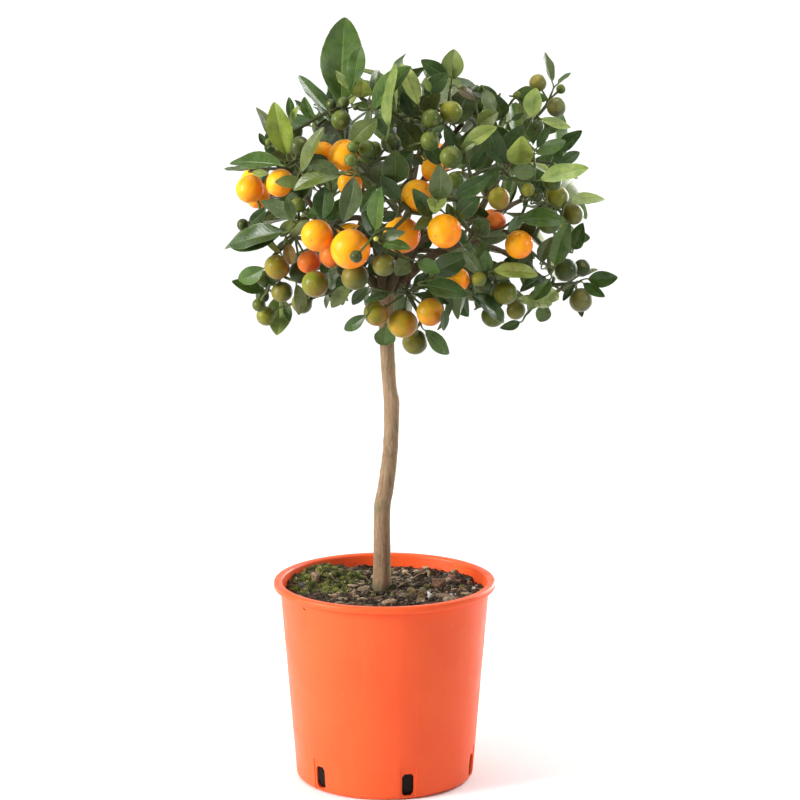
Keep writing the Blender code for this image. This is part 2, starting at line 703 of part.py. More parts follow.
def trunk_shapes():
    """Trunk, knots and limbs as shapes to be joined, and each spray's start and heading."""
    points = []
    radii = []
    for across, down, width in TRUNK_SEEN:
        point = seen_at(across, down, 0.0)
        points.append(point)
        radii.append(width / 2 * (point - EYE).length / PICTURE_SCALE)
    foot = Vector((points[0].x, 0.0, SOIL_LEVEL - HOLE_DEPTH + GAP))
    neck = Vector((points[0].x, 0.0, SOIL_LEVEL - SOIL_LUMPS))
    points = [foot, neck] + points
    radii = [radii[0] * 1.04] * 2 + radii
    shapes = [tube(points, radii, TRUNK_SIDES)]
    for across, down, size in KNOTS_SEEN:
        knot = seen_at(across, down, -0.002)
        shapes.append(ball(knot, size * 0.00095, Vector((0, 0, 1)), 5, 3))
    head = points[-1]
    below = points[-2]
    headings = {}
    for fork_seen, names in LIMBS:
        fork = seen_at(*fork_seen)
        rise = (head - below).normalized()
        middle = head.lerp(fork, 0.5) + rise * 0.006
        for name in names:
            end = START_POINTS[name]
            heading = (end - fork).normalized()
            bend = fork.lerp(end, 0.5) + (rise - heading * 0.5) * 0.006
            headings[name] = (end - bend).normalized()
            if name == names[0]:
                points = [below.lerp(head, 0.7), middle, fork, bend, end]
                widths = [LIMB_RADIUS * 1.2, LIMB_RADIUS, FORK_RADIUS, SPRAY_START_RADIUS * 1.2,
                          SPRAY_START_RADIUS]
                shapes.append(tube(points, widths, 5))
            else:
                shapes.append(tube([fork, bend, end],
                                   [FORK_RADIUS * 0.7, SPRAY_START_RADIUS * 1.1, SPRAY_START_RADIUS], 4))
    return shapes, headings, foot, radii[0]


# Twigs

class Twigs:
    """The twigs of one spray: a tree of straight runs that its leaves and fruits grow on."""

    def __init__(self, name, heading, leaves, fruits, all_fruits, obstacles):
        start = START_POINTS[name] + heading * GAP
        self.name = name
        self.places = [start, start + heading * FIRST_RUN]
        self.parents = [None, 0]
        self.leaves = []
        self.fruits = fruits
        self.stalks = {}
        seats = [(leaf.foot, leaf) for leaf in leaves]
        seats += [(fruit.stalk_end(), fruit) for fruit in fruits]
        seats.sort(key=lambda seat: (seat[0] - self.places[1]).length)
        for seat, thing in seats:
            nearest = self.nearest(seat)[0]
            if (self.places[nearest] - seat).length > PETIOLE_REACH:
                nearest = self.extended(seat, all_fruits, obstacles)
            if isinstance(thing, Fruit):
                nearest = self.nearest(seat)[0] if nearest is None else nearest
                self.stalks[id(thing)] = nearest
                thing.pole = (self.places[nearest] - thing.centre).normalized()
            elif nearest is not None:
                thing.seat_at(self.places[nearest])
                self.leaves.append(thing)

    def nearest(self, seat):
        """The nearest places to grow from, in order."""
        order = sorted(range(1, len(self.places)), key=lambda index: (self.places[index] - seat).length)
        return order[:PLACES_TRIED]

    def extended(self, seat, all_fruits, obstacles):
        """Grow clear runs towards the seat, ending a little short of it; None if no way is clear."""
        for nearest in self.nearest(seat):
            run = seat - self.places[nearest]
            end = clear_of_fruits(seat - run.normalized() * NODE_SETBACK, all_fruits)
            route = [self.places[nearest]]
            for place in bent_round_fruits(route[0], end, all_fruits)[1:]:
                if (place - route[-1]).length >= SHORTEST_RUN:
                    route.append(place)
            if len(route) > 1:
                trial = Thing(tube(route, [SPRAY_START_RADIUS] * len(route), 4), self.name, "twig")
                if meets_any(trial, obstacles):
                    continue
            for place in route[1:]:
                self.places.append(place)
                self.parents.append(nearest)
                nearest = len(self.places) - 1
            return nearest
        return None

    def radii(self):
        """Each place's radius, from how much grows beyond it."""
        load = [1] * len(self.places)
        for index in range(len(self.places) - 1, 0, -1):
            load[self.parents[index]] += load[index]
        radii = [min(SPRAY_START_RADIUS, TWIG_RADIUS * count ** 0.22) for count in load]
        return load, radii

    def runs(self):
        """The twigs as long runs of places, the heaviest branch carried on first."""
        load, radii = self.radii()
        children = {index: [] for index in range(len(self.places))}
        for index in range(1, len(self.places)):
            children[self.parents[index]].append(index)
        waiting = [[0]]
        runs = []
        while waiting:
            run = waiting.pop()
            while children[run[-1]]:
                ordered = sorted(children[run[-1]], key=lambda index: -load[index])
                for index in ordered[1:]:
                    waiting.append([run[-1], index])
                run.append(ordered[0])
            runs.append(([self.places[index] for index in run], [radii[index] for index in run]))
        return runs

    def shapes(self):
        """Twigs and fruit stalks as closed shapes, for clearance."""
        shapes = [tube(places, radii, 3) for places, radii in self.runs() if len(places) > 1]
        shapes += [fruit.on_stalk(self.places[self.stalks[id(fruit)]]) for fruit in self.fruits]
        return shapes

    def pieces(self):
        """The spray as skinned bodies, and closed shapes for what can't grow out of them directly."""
        barred = set()
        for _ in range(6):
            bodies, apart = self.skinned(barred)
            crossing = set()
            for body in bodies:
                crossing |= body.crossing_owners()
            if crossing <= barred:
                break
            barred |= crossing
        return [(body.corners, body.faces) for body in bodies] + apart

    def skinned(self, barred):
        """One try at the bodies; what is barred grows as a shape of its own."""
        _, radii = self.radii()
        children = {index: [] for index in range(len(self.places))}
        for index in range(1, len(self.places)):
            children[self.parents[index]].append(index)
        reaches = [max(KNUCKLE, 2 * max([radii[index]] + [radii[child] for child in children[index]]))
                   for index in range(len(self.places))]
        for index in range(1, len(self.places)):
            half = (self.places[index] - self.places[self.parents[index]]).length * 0.46
            reaches[index] = min(reaches[index], half)
            reaches[self.parents[index]] = min(reaches[self.parents[index]], half)
        for leaf in self.leaves:
            leaf.place = self.places.index(leaf.node)
        apart = []
        bodies = []
        heads = {1: self.new_root(bodies, 0, 1, radii)}
        for index in range(1, len(self.places)):
            place = self.places[index]
            reach = reaches[index]
            body, ring_from, across = heads[index]
            toward = (self.places[self.parents[index]] - place).normalized()
            ways = [(toward, math.atan(radii[index] / reach))]
            end = body.ring(round_ring(place + toward * reach, -toward, across, radii[index], 3))
            body.band(ring_from, end)
            body.mark(("twig", index))
            rings = [end]
            for child in children[index]:
                run = (self.places[child] - place).normalized()
                spread = math.atan(radii[child] / reach)
                across, _ = frame_across(run)
                ring = None
                for way in [] if ("twig", child) in barred else free_ways(run, ways, spread):
                    start = place + way * reach
                    stop = self.places[child] - run * reaches[child]
                    inner = [start.lerp(stop, 0.08), start.lerp(stop, 0.92)]
                    thing = Thing(tube(inner, [radii[child]] * 2, 3), self.name, "twig")
                    if not any(thing.meets(other) for other in body.things):
                        ring = body.ring(round_ring(start, way, across, radii[child], 3))
                    break
                if ring and body.fits(rings + [ring]):
                    ways.append((way, spread))
                    rings.append(ring)
                    body.things.append(thing)
                    heads[child] = (body, ring, across)
                else:
                    body.drop(ring)
                    heads[child] = self.new_root(bodies, index, child, radii)
            for grown, seat in self.growing(index):
                spread = math.atan(STALK_RADIUS / reach)
                joined = False
                for way in [] if ("grown", id(grown)) in barred else free_ways(seat, ways, spread):
                    start = place + way * reach
                    across, _ = frame_across(seat)
                    if isinstance(grown, Leaf):
                        corners = leaf_ring(start, way, grown.frame()[0])
                    else:
                        corners = round_ring(start, way, across, STALK_RADIUS, 3)
                    shape = grown.alone(corners, start, across)
                    if crosses_itself(shape) or meets_any(Thing(shape, self.name, "grown"), body.things):
                        continue
                    ring = body.ring(corners)
                    if body.fits(rings + [ring]):
                        ways.append((way, spread))
                        rings.append(ring)
                        body.things.append(Thing(shape, self.name, "grown"))
                        grown.grow(body, ring, start, across)
                        body.mark(("grown", id(grown)))
                        joined = True
                        break
                    body.drop(ring)
                if not joined:
                    apart.append(grown.solid() if isinstance(grown, Leaf) else grown.on_stalk(place))
            body.knuckle(rings)
            body.mark(None)
        return bodies, apart

    def new_root(self, bodies, index, child, radii):
        """A fresh body whose first twig starts with a flat end at this place."""
        body = Body()
        bodies.append(body)
        run = (self.places[child] - self.places[index]).normalized()
        across, _ = frame_across(run)
        ring = body.ring(round_ring(self.places[index], run, across, radii[child], 3))
        body.faces.append(tuple(ring))
        body.mark(None)
        return body, ring, across

    def growing(self, index):
        """The fruits and leaves that grow at this place, each with the way that its stalk makes for."""
        place = self.places[index]
        fruits = [(fruit, -fruit.pole) for fruit in self.fruits if self.stalks[id(fruit)] == index]
        return fruits + [(leaf, leaf.way_from(place)) for leaf in self.leaves if leaf.place == index]


def free_ways(run, ways, spread):
    """Ways out of a knuckle, from the run's own outwards, that are clear of the ways already taken."""
    across, other = frame_across(run)
    for lean in (0.0, 0.35, 0.7, 1.05):
        for step in range(8 if lean else 1):
            turn = math.pi * step / 4
            out = across * math.cos(turn) + other * math.sin(turn)
            choice = (run * math.cos(lean) + out * math.sin(lean)).normalized()
            if all(choice.angle(way) > 2 * max(spread, taken) + KNUCKLE_SLACK for way, taken in ways):
                yield choice


# Laying out the crown

def lay_out_fruits(draw):
    """Every fruit: those the photograph shows, then those of the rule."""
    fruits = []
    for ripe, rows in ((True, RIPE_SEEN), (False, GREEN_SEEN)):
        for across, down, size, sunk in rows:
            depth = crown_front(across, down) + sunk / 1000
            radius = size * (seen_at(across, down, depth) - EYE).length / PICTURE_SCALE
            for slide in SLIDES:
                centre = seen_at(across, down, depth + radius + slide)
                if all((centre - other.centre).length > radius + other.radius + 0.001 for other in fruits):
                    fruits.append(Fruit(centre, radius, ripe))
                    break
    for ripe, count in ((True, RULE_RIPE), (False, RULE_GREEN)):
        made = 0
        while made < count:
            rise = draw.gauss(0, 0.5) if ripe else draw.gauss(0, 1)
            outward = Vector((draw.gauss(0, 1), abs(draw.gauss(0, 1)) + 0.35, rise)).normalized()
            radius = draw.uniform(0.012, 0.017) if ripe else draw.uniform(0.006, 0.011)
            share = draw.uniform(0.72, 0.9)
            centre = CROWN_CENTRE + Vector([outward[k] * CROWN_HALF[k] * share for k in range(3)])
            roomy = all((centre - other.centre).length > radius + other.radius + 0.012 for other in fruits)
            spot = pixel_of(centre)
            covered = any(math.dist(spot, row[:2]) < HIDING_REACH for row in RIPE_SEEN)
            if roomy and inside_outline(centre) and (covered or not ripe):
                fruits.append(Fruit(centre, radius, ripe))
                made += 1
    return fruits


def ruled_leaf(index, draw):
    """A leaf of the rule, spread by the golden angle over the crown."""
    height = 1 - 2 * (index + 0.5) / RULE_TRIES
    turn = index * math.pi * (3 - math.sqrt(5))
    flat = math.sqrt(1 - height * height)
    outward = Vector((flat * math.cos(turn), flat * math.sin(turn), height))
    share = draw.uniform(0.82, 0.96)
    inside = outward.y < FRONT_FACING and outward.z < TOP_FACING
    if inside:
        share = draw.uniform(0.50, 0.74)
    lean = Vector((draw.gauss(0, 0.5), draw.gauss(0, 0.5), draw.gauss(0.1, 0.5)))
    along = (outward + lean).normalized()
    length = draw.uniform(*LEAF_LENGTH)
    for sink in range(RULE_SINKS):
        reach = share - RULE_SINK * sink
        tip = CROWN_CENTRE + Vector([outward[k] * CROWN_HALF[k] * reach for k in range(3)])
        foot = tip - along * length
        if inside_outline(foot) and inside_outline(tip):
            break
    face = outward * 0.7 + Vector((draw.gauss(0, 0.35), draw.gauss(0, 0.35), 0.8))
    normal = (face - along * face.dot(along)).normalized()
    width = length * draw.uniform(0.46, 0.58)
    return inside, Leaf(foot, tip, normal, width, draw.uniform(*LEAF_FOLD), draw.uniform(*LEAF_ARCH))


def tested(leaf):
    """A leaf as a slightly fatter thing, for clearance."""
    return Thing(leaf.solid(LEAF_THICKNESS + 0.0008), nearest_spray(leaf.foot), "leaf")


def lay_out_leaves(fixed, draw):
    """Every leaf, slid along the line of sight or left out where it would cut another piece."""
    things = list(fixed)
    leaves = []
    for number, row in enumerate(LEAVES_SEEN):
        state = random.Random(SEED + number)
        best = None
        for shrink, slide in ((shrink, slide) for shrink in SHRINKS for slide in SLIDES):
            state.seed(SEED + number)
            leaf = leaf_from_picture(row, slide, shrink, state)
            thing = tested(leaf)
            met = [other for other in things if thing.meets(other)]
            foreign = [other for other in met if other.owner != thing.owner or other.kind != "leaf"]
            if not met:
                best = (leaf, thing)
                break
            if not foreign and best is None:
                best = (leaf, thing)
        if best:
            leaves.append(best[0])
            things.append(best[1])
    room = {True: RULE_INSIDE, False: RULE_LEAVES - RULE_INSIDE}
    for step in range(RULE_TRIES):
        inside, leaf = ruled_leaf(step * RULE_STRIDE % RULE_TRIES, draw)
        if not room[inside] or not (inside_outline(leaf.foot) and inside_outline(leaf.tip)):
            continue
        thing = tested(leaf)
        if not any(thing.meets(other) for other in things):
            leaves.append(leaf)
            things.append(thing)
            room[inside] -= 1
    return leaves


def bare(leaf):
    """The blade alone, clear of its own stalk."""
    blade = leaf.swung(0, 0, 1)
    blade.node = None
    blade.foot = blade.foot.lerp(blade.tip, 0.06)
    return Thing(blade.solid(), nearest_spray(leaf.foot), "leaf")


def swings(leaf):
    """The leaf turned about its foot, a little first, then further, then shortened."""
    for shrink in SHRINKS:
        for sideways in SWINGS:
            for lift in SWINGS:
                turned_leaf = leaf.swung(sideways, lift, shrink)
                if leaf.seen_tip is None and inside_outline(turned_leaf.tip):
                    yield turned_leaf
                if leaf.seen_tip and math.dist(pixel_of(turned_leaf.tip), leaf.seen_tip) < FARTHEST_STRAY:
                    yield turned_leaf


def meets_any(thing, others):
    return any(thing.meets(other) for other in others)


def grow_sprays(leaves, fruits, headings, wood):
    """Twigs for every spray; leaves that would cut another piece swing clear or are left out."""
    obstacles = wood + [Thing(fruit.solid(TWIG_CLEARANCE / 4), "fruit", "fruit") for fruit in fruits]
    for _ in range(6):
        sprays = []
        for name in SPRAY_STARTS:
            own_leaves = [leaf for leaf in leaves if nearest_spray(leaf.foot) == name]
            own_fruits = [fruit for fruit in fruits if fruit.owner == name]
            sprays.append(Twigs(name, headings[name], own_leaves, own_fruits, fruits, obstacles))
        leaves = [leaf for spray in sprays for leaf in spray.leaves]
        fixed = list(wood)
        for spray in sprays:
            fixed += [Thing(shape, spray.name, "twig") for shape in spray.shapes()]
        for fruit in fruits:
            owner = "ripe" if fruit.ripe else fruit.owner
            fixed.append(Thing(fruit.solid(0.0006), owner, "fruit"))
        things = {id(leaf): tested(leaf) for leaf in leaves}
        blades = {id(leaf): bare(leaf) for leaf in leaves}
        kept = []
        changed = False
        for leaf in leaves:
            owner = things[id(leaf)].owner
            foreign = [thing for thing in fixed if thing.owner != owner]
            foreign += [thing for thing in things.values() if thing.owner != owner]
            own = [thing for thing in fixed if thing.owner == owner]
            own += [blade for key, blade in blades.items() if key != id(leaf) and blade.owner == owner]
            cuts_foreign = meets_any(things[id(leaf)], foreign)
            if not cuts_foreign and not meets_any(blades[id(leaf)], own):
                kept.append(leaf)
                continue
            changed = changed or cuts_foreign
            better = None if cuts_foreign else leaf
            for turned_leaf in swings(leaf):
                if not meets_any(tested(turned_leaf), foreign):
                    better = better or turned_leaf
                    if not meets_any(bare(turned_leaf), own):
                        better = turned_leaf
                        break
            del things[id(leaf)]
            del blades[id(leaf)]
            if better:
                kept.append(better)
                things[id(better)] = tested(better)
                blades[id(better)] = bare(better)
        leaves = kept
        if not changed:
            break
    return sprays


# Making Blender objects

def paint(name, colour, roughness):
    """A plain material."""
    material = bpy.data.materials.new(name)
    material.use_nodes = True
    shader = material.node_tree.nodes["Principled BSDF"]
    shader.inputs["Base Color"].default_value = (*colour, 1.0)
    shader.inputs["Roughness"].default_value = roughness
    shader.inputs["Metallic"].default_value = 0.0
    material.diffuse_color = (*colour, 1.0)
    return material


def make_object(name, shape, material=None):
    """An object from corners and faces, its faces turned outward."""
    corners, faces = shape
    mesh = bpy.data.meshes.new(name)
    mesh.from_pydata([tuple(corner) for corner in corners], [], faces)
    work = bmesh.new()
    work.from_mesh(mesh)
    bmesh.ops.recalc_face_normals(work, faces=work.faces)
    if work.calc_volume(signed=True) < 0:
        bmesh.ops.reverse_faces(work, faces=work.faces)
    bmesh.ops.triangulate(work, faces=work.faces)
    work.to_mesh(mesh)
    work.free()
    thing = bpy.data.objects.new(name, mesh)
    bpy.context.scene.collection.objects.link(thing)
    if material:
        mesh.materials.append(material)
        finish(thing)
    return thing


def finish(thing):
    """Smooth shading with the true edges kept sharp."""
    thing.data.shade_smooth()
    thing.data.set_sharp_from_angle(angle=math.radians(40))


def combined(name, host, others, operation, material, solver="MANIFOLD"):
    """The host joined with or cut by the others, which are then removed."""
    mesh = host.data
    if others:
        group = bpy.data.collections.new(name + "_parts")
        bpy.context.scene.collection.children.link(group)
        for other in others:
            bpy.context.scene.collection.objects.unlink(other)
            group.objects.link(other)
        step = host.modifiers.new("join", "BOOLEAN")
        step.operation = operation
        step.operand_type = "COLLECTION"
        step.collection = group
        step.solver = solver
        bpy.context.view_layer.update()
        mesh = bpy.data.meshes.new_from_object(host.evaluated_get(bpy.context.evaluated_depsgraph_get()))
        for other in others:
            bpy.data.objects.remove(other)
        bpy.data.collections.remove(group)
    bpy.data.objects.remove(host)
    keep_largest_body(mesh)
    mesh.name = name
    mesh.materials.clear()
    mesh.materials.append(material)
    result = bpy.data.objects.new(name, mesh)
    bpy.context.scene.collection.objects.link(result)
    finish(result)
    return result


def keep_largest_body(mesh):
    """Triangles only; loose scraps and sealed hollows are dropped."""
    work = bmesh.new()
    work.from_mesh(mesh)
    bmesh.ops.triangulate(work, faces=work.faces)
    waiting = set(work.verts)
    bodies = []
    while waiting:
        body = {waiting.pop()}
        edge = list(body)
        while edge:
            corner = edge.pop()
            for link in corner.link_edges:
                other = link.other_vert(corner)
                if other in waiting:
                    waiting.discard(other)
                    body.add(other)
                    edge.append(other)
        bodies.append(body)
    bodies.sort(key=len, reverse=True)
    for body in bodies[1:]:
        bmesh.ops.delete(work, geom=list(body), context="VERTS")
    work.to_mesh(mesh)
    work.free()


def build_pot():
    """The moulded pot: wall, rolled lip, grooved base and the slots low in its wall."""
    lip_low = POT_HEIGHT - LIP_HEIGHT
    inner_top = WALL_TOP_RADIUS - WALL
    eased = RIM_ROUNDING * (1 - math.sqrt(0.5))
    profile = [(0, 0), (BASE_PAD_RADIUS, 0), (BASE_PAD_RADIUS + 0.001, BASE_GROOVE_DEPTH),
               (FOOT_RING_INNER - 0.001, BASE_GROOVE_DEPTH), (FOOT_RING_INNER, 0)]
    corner_middle = BASE_RADIUS - CORNER_RADIUS
    for turn in (0, math.pi / 4, math.pi / 2):
        profile.append((corner_middle + CORNER_RADIUS * math.sin(turn), CORNER_RADIUS * (1 - math.cos(turn))))
    profile += [
        (WALL_TOP_RADIUS, lip_low), (RIM_RADIUS - 0.0012, lip_low + 0.0002),
        (RIM_RADIUS, lip_low + RIM_EASING), (RIM_RADIUS, POT_HEIGHT - RIM_ROUNDING),
        (RIM_RADIUS - eased, POT_HEIGHT - eased),
        (RIM_RADIUS - RIM_ROUNDING, POT_HEIGHT), (inner_top + RIM_EASING, POT_HEIGHT),
        (inner_top, POT_HEIGHT - RIM_ROUNDING),
        (BASE_RADIUS - WALL, CORNER_RADIUS + FLOOR_THICKNESS), (corner_middle, FLOOR_THICKNESS),
        (0, FLOOR_THICKNESS),
    ]
    cutters = []
    for number in range(SLOT_COUNT):
        angle = FIRST_SLOT_ANGLE + number * 2 * math.pi / SLOT_COUNT - math.pi / 2
        out = Vector((math.cos(angle), math.sin(angle), 0))
        wide = Vector((-math.sin(angle), math.cos(angle), 0)) * SLOT_WIDTH / 2
        high = SLOT_TOP - SLOT_SHOULDER
        low = SLOT_FOOT + SLOT_SHOULDER
        section = ((-1, low), (-0.6, SLOT_FOOT), (0.6, SLOT_FOOT), (1, low),
                   (1, high), (0.6, SLOT_TOP), (-0.6, SLOT_TOP), (-1, high))
        corners = [out * reach + wide * share + Vector((0, 0, height))
                   for reach in SLOT_REACH for share, height in section]
        count = len(section)
        sides = [(k, (k + 1) % count, (k + 1) % count + count, k + count) for k in range(count)]
        ends = [tuple(reversed(range(count))), tuple(range(count, 2 * count))]
        shape = (corners, sides + ends)
        cutters.append(make_object("slot_cutter", shape))
    body = make_object("pot_body", turned(profile, POT_SIDES))
    return combined("pot", body, cutters, "DIFFERENCE", paint("pot", (0.86, 0.16, 0.035), 0.42), "EXACT")


def soil_height(x, y):
    """The soil's surface: lumps, and the mound on the left at the back."""
    lumps = noise.noise(Vector((x * 42, y * 42, 3.1))) + 0.5 * noise.noise(Vector((x * 110, y * 110, 7.7)))
    away = math.hypot(x - MOUND_CENTRE[0], y - MOUND_CENTRE[1]) / MOUND_RADIUS
    mound = max(0.0, 1 - away * away) ** 1.5
    return SOIL_LEVEL + SOIL_LUMPS * lumps + MOUND_HEIGHT * mound


def build_soil(trunk_foot, trunk_radius):
    """The potting mix, with a plain blind hole for the trunk."""
    floor = FLOOR_THICKNESS + GAP
    wall_low = CORNER_RADIUS + FLOOR_THICKNESS + GAP
    edge = WALL_TOP_RADIUS - WALL - GAP
    slope = (WALL_TOP_RADIUS - BASE_RADIUS) / (POT_HEIGHT - LIP_HEIGHT - CORNER_RADIUS)
    edge_at_level = edge - slope * (POT_HEIGHT - SOIL_LEVEL) - GAP
    hole = trunk_radius + GAP * 1.2
    hole_floor = trunk_foot.z - GAP
    rings = [(BASE_RADIUS - CORNER_RADIUS - 2 * GAP, floor, 0.0),
             (BASE_RADIUS - WALL - 2 * GAP, wall_low, 0.0)]
    for step in range(SOIL_RINGS + 1):
        share = step / SOIL_RINGS
        rings.append((edge_at_level + (hole - edge_at_level) * share, None, share))
    rings.append((hole, hole_floor, 1.0))
    corners = [Vector((0, 0, floor))]
    for radius, height, share in rings:
        for side in range(SOIL_SIDES):
            turn = 2 * math.pi * side / SOIL_SIDES
            x = trunk_foot.x * share + radius * math.cos(turn)
            y = radius * math.sin(turn)
            corners.append(Vector((x, y, soil_height(x, y) if height is None else height)))
    corners.append(Vector((trunk_foot.x, 0, hole_floor)))
    faces = []
    for side in range(SOIL_SIDES):
        after = (side + 1) % SOIL_SIDES
        faces.append((0, 1 + after, 1 + side))
        for ring in range(len(rings) - 1):
            a = 1 + ring * SOIL_SIDES + side
            b = 1 + ring * SOIL_SIDES + after
            faces.append((a, b, b + SOIL_SIDES, a + SOIL_SIDES))
        last = 1 + (len(rings) - 1) * SOIL_SIDES
        faces.append((last + side, last + after, len(corners) - 1))
    return make_object("soil", (corners, faces), paint("soil", (0.035, 0.024, 0.018), 0.95))


def build():
    for thing in list(bpy.data.objects):
        bpy.data.objects.remove(thing)
    draw = random.Random(SEED)
    shapes, headings, trunk_foot, trunk_radius = trunk_shapes()
    build_pot()
    build_soil(trunk_foot, trunk_radius)
    parts = [make_object("limb", shape) for shape in shapes]
    combined("trunk", parts[0], parts[1:], "UNION", paint("bark", (0.30, 0.20, 0.12), 0.8), "EXACT")

    wood = [Thing(shape, "trunk", "trunk") for shape in shapes]
    fruits = lay_out_fruits(draw)
    fixed = wood + [Thing(fruit.solid(0.0006), "fruit", "fruit") for fruit in fruits]
    leaves = lay_out_leaves(fixed, draw)
    sprays = grow_sprays(leaves, fruits, headings, wood)

    green = paint("leafy_spray", (0.10, 0.17, 0.045), 0.45)
    for spray in sprays:
        parts = [make_object("piece", shape) for shape in spray.pieces()]
        combined("spray_" + spray.name, parts[0], parts[1:], "UNION", green)
    orange = paint("ripe_fruit", (0.90, 0.36, 0.03), 0.35)
    ripe = [fruit for fruit in fruits if fruit.ripe]
    for number, fruit in enumerate(ripe, start=1):
        make_object("orange_%02d" % number, fruit.solid(), orange)


START_POINTS = {name: seen_at(*seen) for name, seen in SPRAY_STARTS.items()}
build()
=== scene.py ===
import random
from math import acos, copysign, cos, exp, hypot, pi, radians, sin, sqrt

import bmesh
import bpy
from mathutils import Matrix, Vector, noise
from mathutils.bvhtree import BVHTree


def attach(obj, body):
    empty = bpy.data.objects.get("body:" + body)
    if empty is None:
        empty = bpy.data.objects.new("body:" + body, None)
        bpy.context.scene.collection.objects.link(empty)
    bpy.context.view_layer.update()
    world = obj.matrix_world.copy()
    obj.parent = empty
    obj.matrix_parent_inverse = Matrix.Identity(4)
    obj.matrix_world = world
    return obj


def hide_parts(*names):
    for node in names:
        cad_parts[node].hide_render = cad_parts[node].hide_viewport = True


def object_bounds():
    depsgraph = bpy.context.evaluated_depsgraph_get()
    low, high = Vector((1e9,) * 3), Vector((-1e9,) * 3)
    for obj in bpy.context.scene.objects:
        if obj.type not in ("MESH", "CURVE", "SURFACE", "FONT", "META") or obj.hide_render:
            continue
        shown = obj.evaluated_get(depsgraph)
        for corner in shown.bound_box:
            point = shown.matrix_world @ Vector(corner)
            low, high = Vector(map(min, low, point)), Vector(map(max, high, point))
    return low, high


# The looks of a small citrus tree in a plastic pot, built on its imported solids
# Metres, +Z up, the front of the tree at -Y. Each leaf and fruit is read back from its
# solid, so the finer piece lies where the solid lies, and its colour is looked up by the
# pixel of the photograph where it shows.

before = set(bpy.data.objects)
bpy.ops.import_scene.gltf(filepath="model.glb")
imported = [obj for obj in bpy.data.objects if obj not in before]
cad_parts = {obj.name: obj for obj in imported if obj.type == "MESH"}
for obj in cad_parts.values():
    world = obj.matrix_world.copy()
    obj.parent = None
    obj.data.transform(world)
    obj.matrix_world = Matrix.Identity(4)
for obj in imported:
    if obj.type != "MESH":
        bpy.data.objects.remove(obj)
cad_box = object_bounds()

# Camera, as the photograph sees the tree
EYE = Vector((0.0145, -2.5, 0.8485))
TILT = radians(10.98)
PICTURE_SCALE = 2725.0
PICTURE_SIZE = 800.0
SENSOR = 36.0

# Crown as an ellipsoid
CROWN_CENTRE = Vector((0.0345, 0.0, 0.566))
CROWN_HALF = Vector((0.186, 0.160, 0.156))

# Trunk in the photograph: pixel across, pixel down, width in pixels
TRUNK_SEEN = (
    (382.1, 560, 17.5), (382.1, 510, 16.5), (385.2, 490, 16), (388.6, 466, 15.4), (390.8, 440, 14.6),
    (391.5, 405, 15.6), (389.5, 385, 14), (387.2, 345, 14.5), (386.4, 314, 16.5), (385, 292, 21),
)
# Knots on the trunk: pixel across, pixel down, size in pixels
KNOTS_SEEN = ((398, 401, 5), (385, 418, 4), (397, 446, 4), (375, 507, 4))
# Where each spray starts: pixel across, pixel down, depth in metres behind the trunk
SPRAY_STARTS = {
    "front_far_left": (300, 238, -0.040),
    "front_left": (338, 222, -0.066),
    "front_low_left": (345, 282, -0.040),
    "front_middle": (395, 214, -0.078),
    "front_low_middle": (408, 285, -0.058),
    "front_right": (452, 222, -0.072),
    "front_low_right": (480, 272, -0.052),
    "front_far_right": (528, 236, -0.040),
    "low_right": (545, 280, 0.000),
    "crest_left": (345, 140, -0.020),
    "crest_middle": (410, 128, -0.036),
    "crest_right": (462, 124, -0.020),
    "crest_far_right": (518, 150, -0.010),
    "shoulder_left": (292, 176, 0.000),
    "back_left": (318, 230, 0.062),
    "back_low_middle": (398, 275, 0.066),
    "back_middle": (390, 195, 0.088),
    "back_right": (470, 245, 0.074),
    "back_far_right": (522, 200, 0.056),
    "back_crest": (425, 130, 0.052),
}
# The main limbs, each with its fork and the sprays that it feeds
LIMBS = (
    ((338, 258, 0.010), ("front_far_left", "front_low_left", "shoulder_left", "back_left")),
    ((372, 226, -0.024), ("front_left", "crest_left", "front_middle")),
    ((416, 250, -0.022), ("front_low_middle", "front_right", "front_low_right")),
    ((410, 205, 0.014), ("crest_middle", "crest_right", "back_crest")),
    ((468, 240, 0.010), ("front_far_right", "low_right", "crest_far_right", "back_far_right")),
    ((408, 244, 0.044), ("back_low_middle", "back_middle", "back_right")),
)
LIMB_BOW = 0.006
NECK_WIDENING = 1.04
LIMB_RADIUS = 0.0046
FORK_RADIUS = 0.0034
SPRAY_START_RADIUS = 0.0022

# Sizes that the solids were made with
SOIL_LEVEL = 0.180
SOIL_LUMPS = 0.0035
MOUND_HEIGHT = 0.008
MOUND_CENTRE = (-0.060, 0.050)
MOUND_RADIUS = 0.045
HOLE_DEPTH = 0.060
GAP = 0.0003
RIM_RADIUS = 0.105
POT_HEIGHT = 0.191
LIP_HEIGHT = 0.0064
WALL_TOP_RADIUS = 0.0989
BASE_RADIUS = 0.0845
CORNER_RADIUS = 0.0052
WALL_SLOPE = (WALL_TOP_RADIUS - BASE_RADIUS) / (POT_HEIGHT - LIP_HEIGHT - CORNER_RADIUS)
WALL = 0.002
FLOOR_THICKNESS = 0.003
BASE_PAD_RADIUS = 0.048
FOOT_RING_INNER = 0.072
BASE_GROOVE_DEPTH = 0.0012
RIM_ROUNDING = 0.0026
SLOT_COUNT = 6
SLOT_WIDTH = 0.0112
SLOT_TOP = 0.0255
SLOT_FOOT = 0.0038
SLOT_SHOULDER = 0.003
SLOT_REACH = (0.0755, 0.100)
FIRST_SLOT_ANGLE = radians(15)
LEAF_THICKNESS = 0.0013
NEAR_STATION = 0.36
FAR_STATION = 0.72
FAR_SHARE = 0.76
LEAF_RATIO = (0.36, 0.64)
FRUIT_FLATNESS = 0.95
FIRST_RUN = 0.008
PETIOLE_REACH = 0.019
SHORTEST_RUN = 0.009
NODE_SETBACK = 0.007
TWIG_RADIUS = 0.0012
TWIG_CLEARANCE = 0.0032
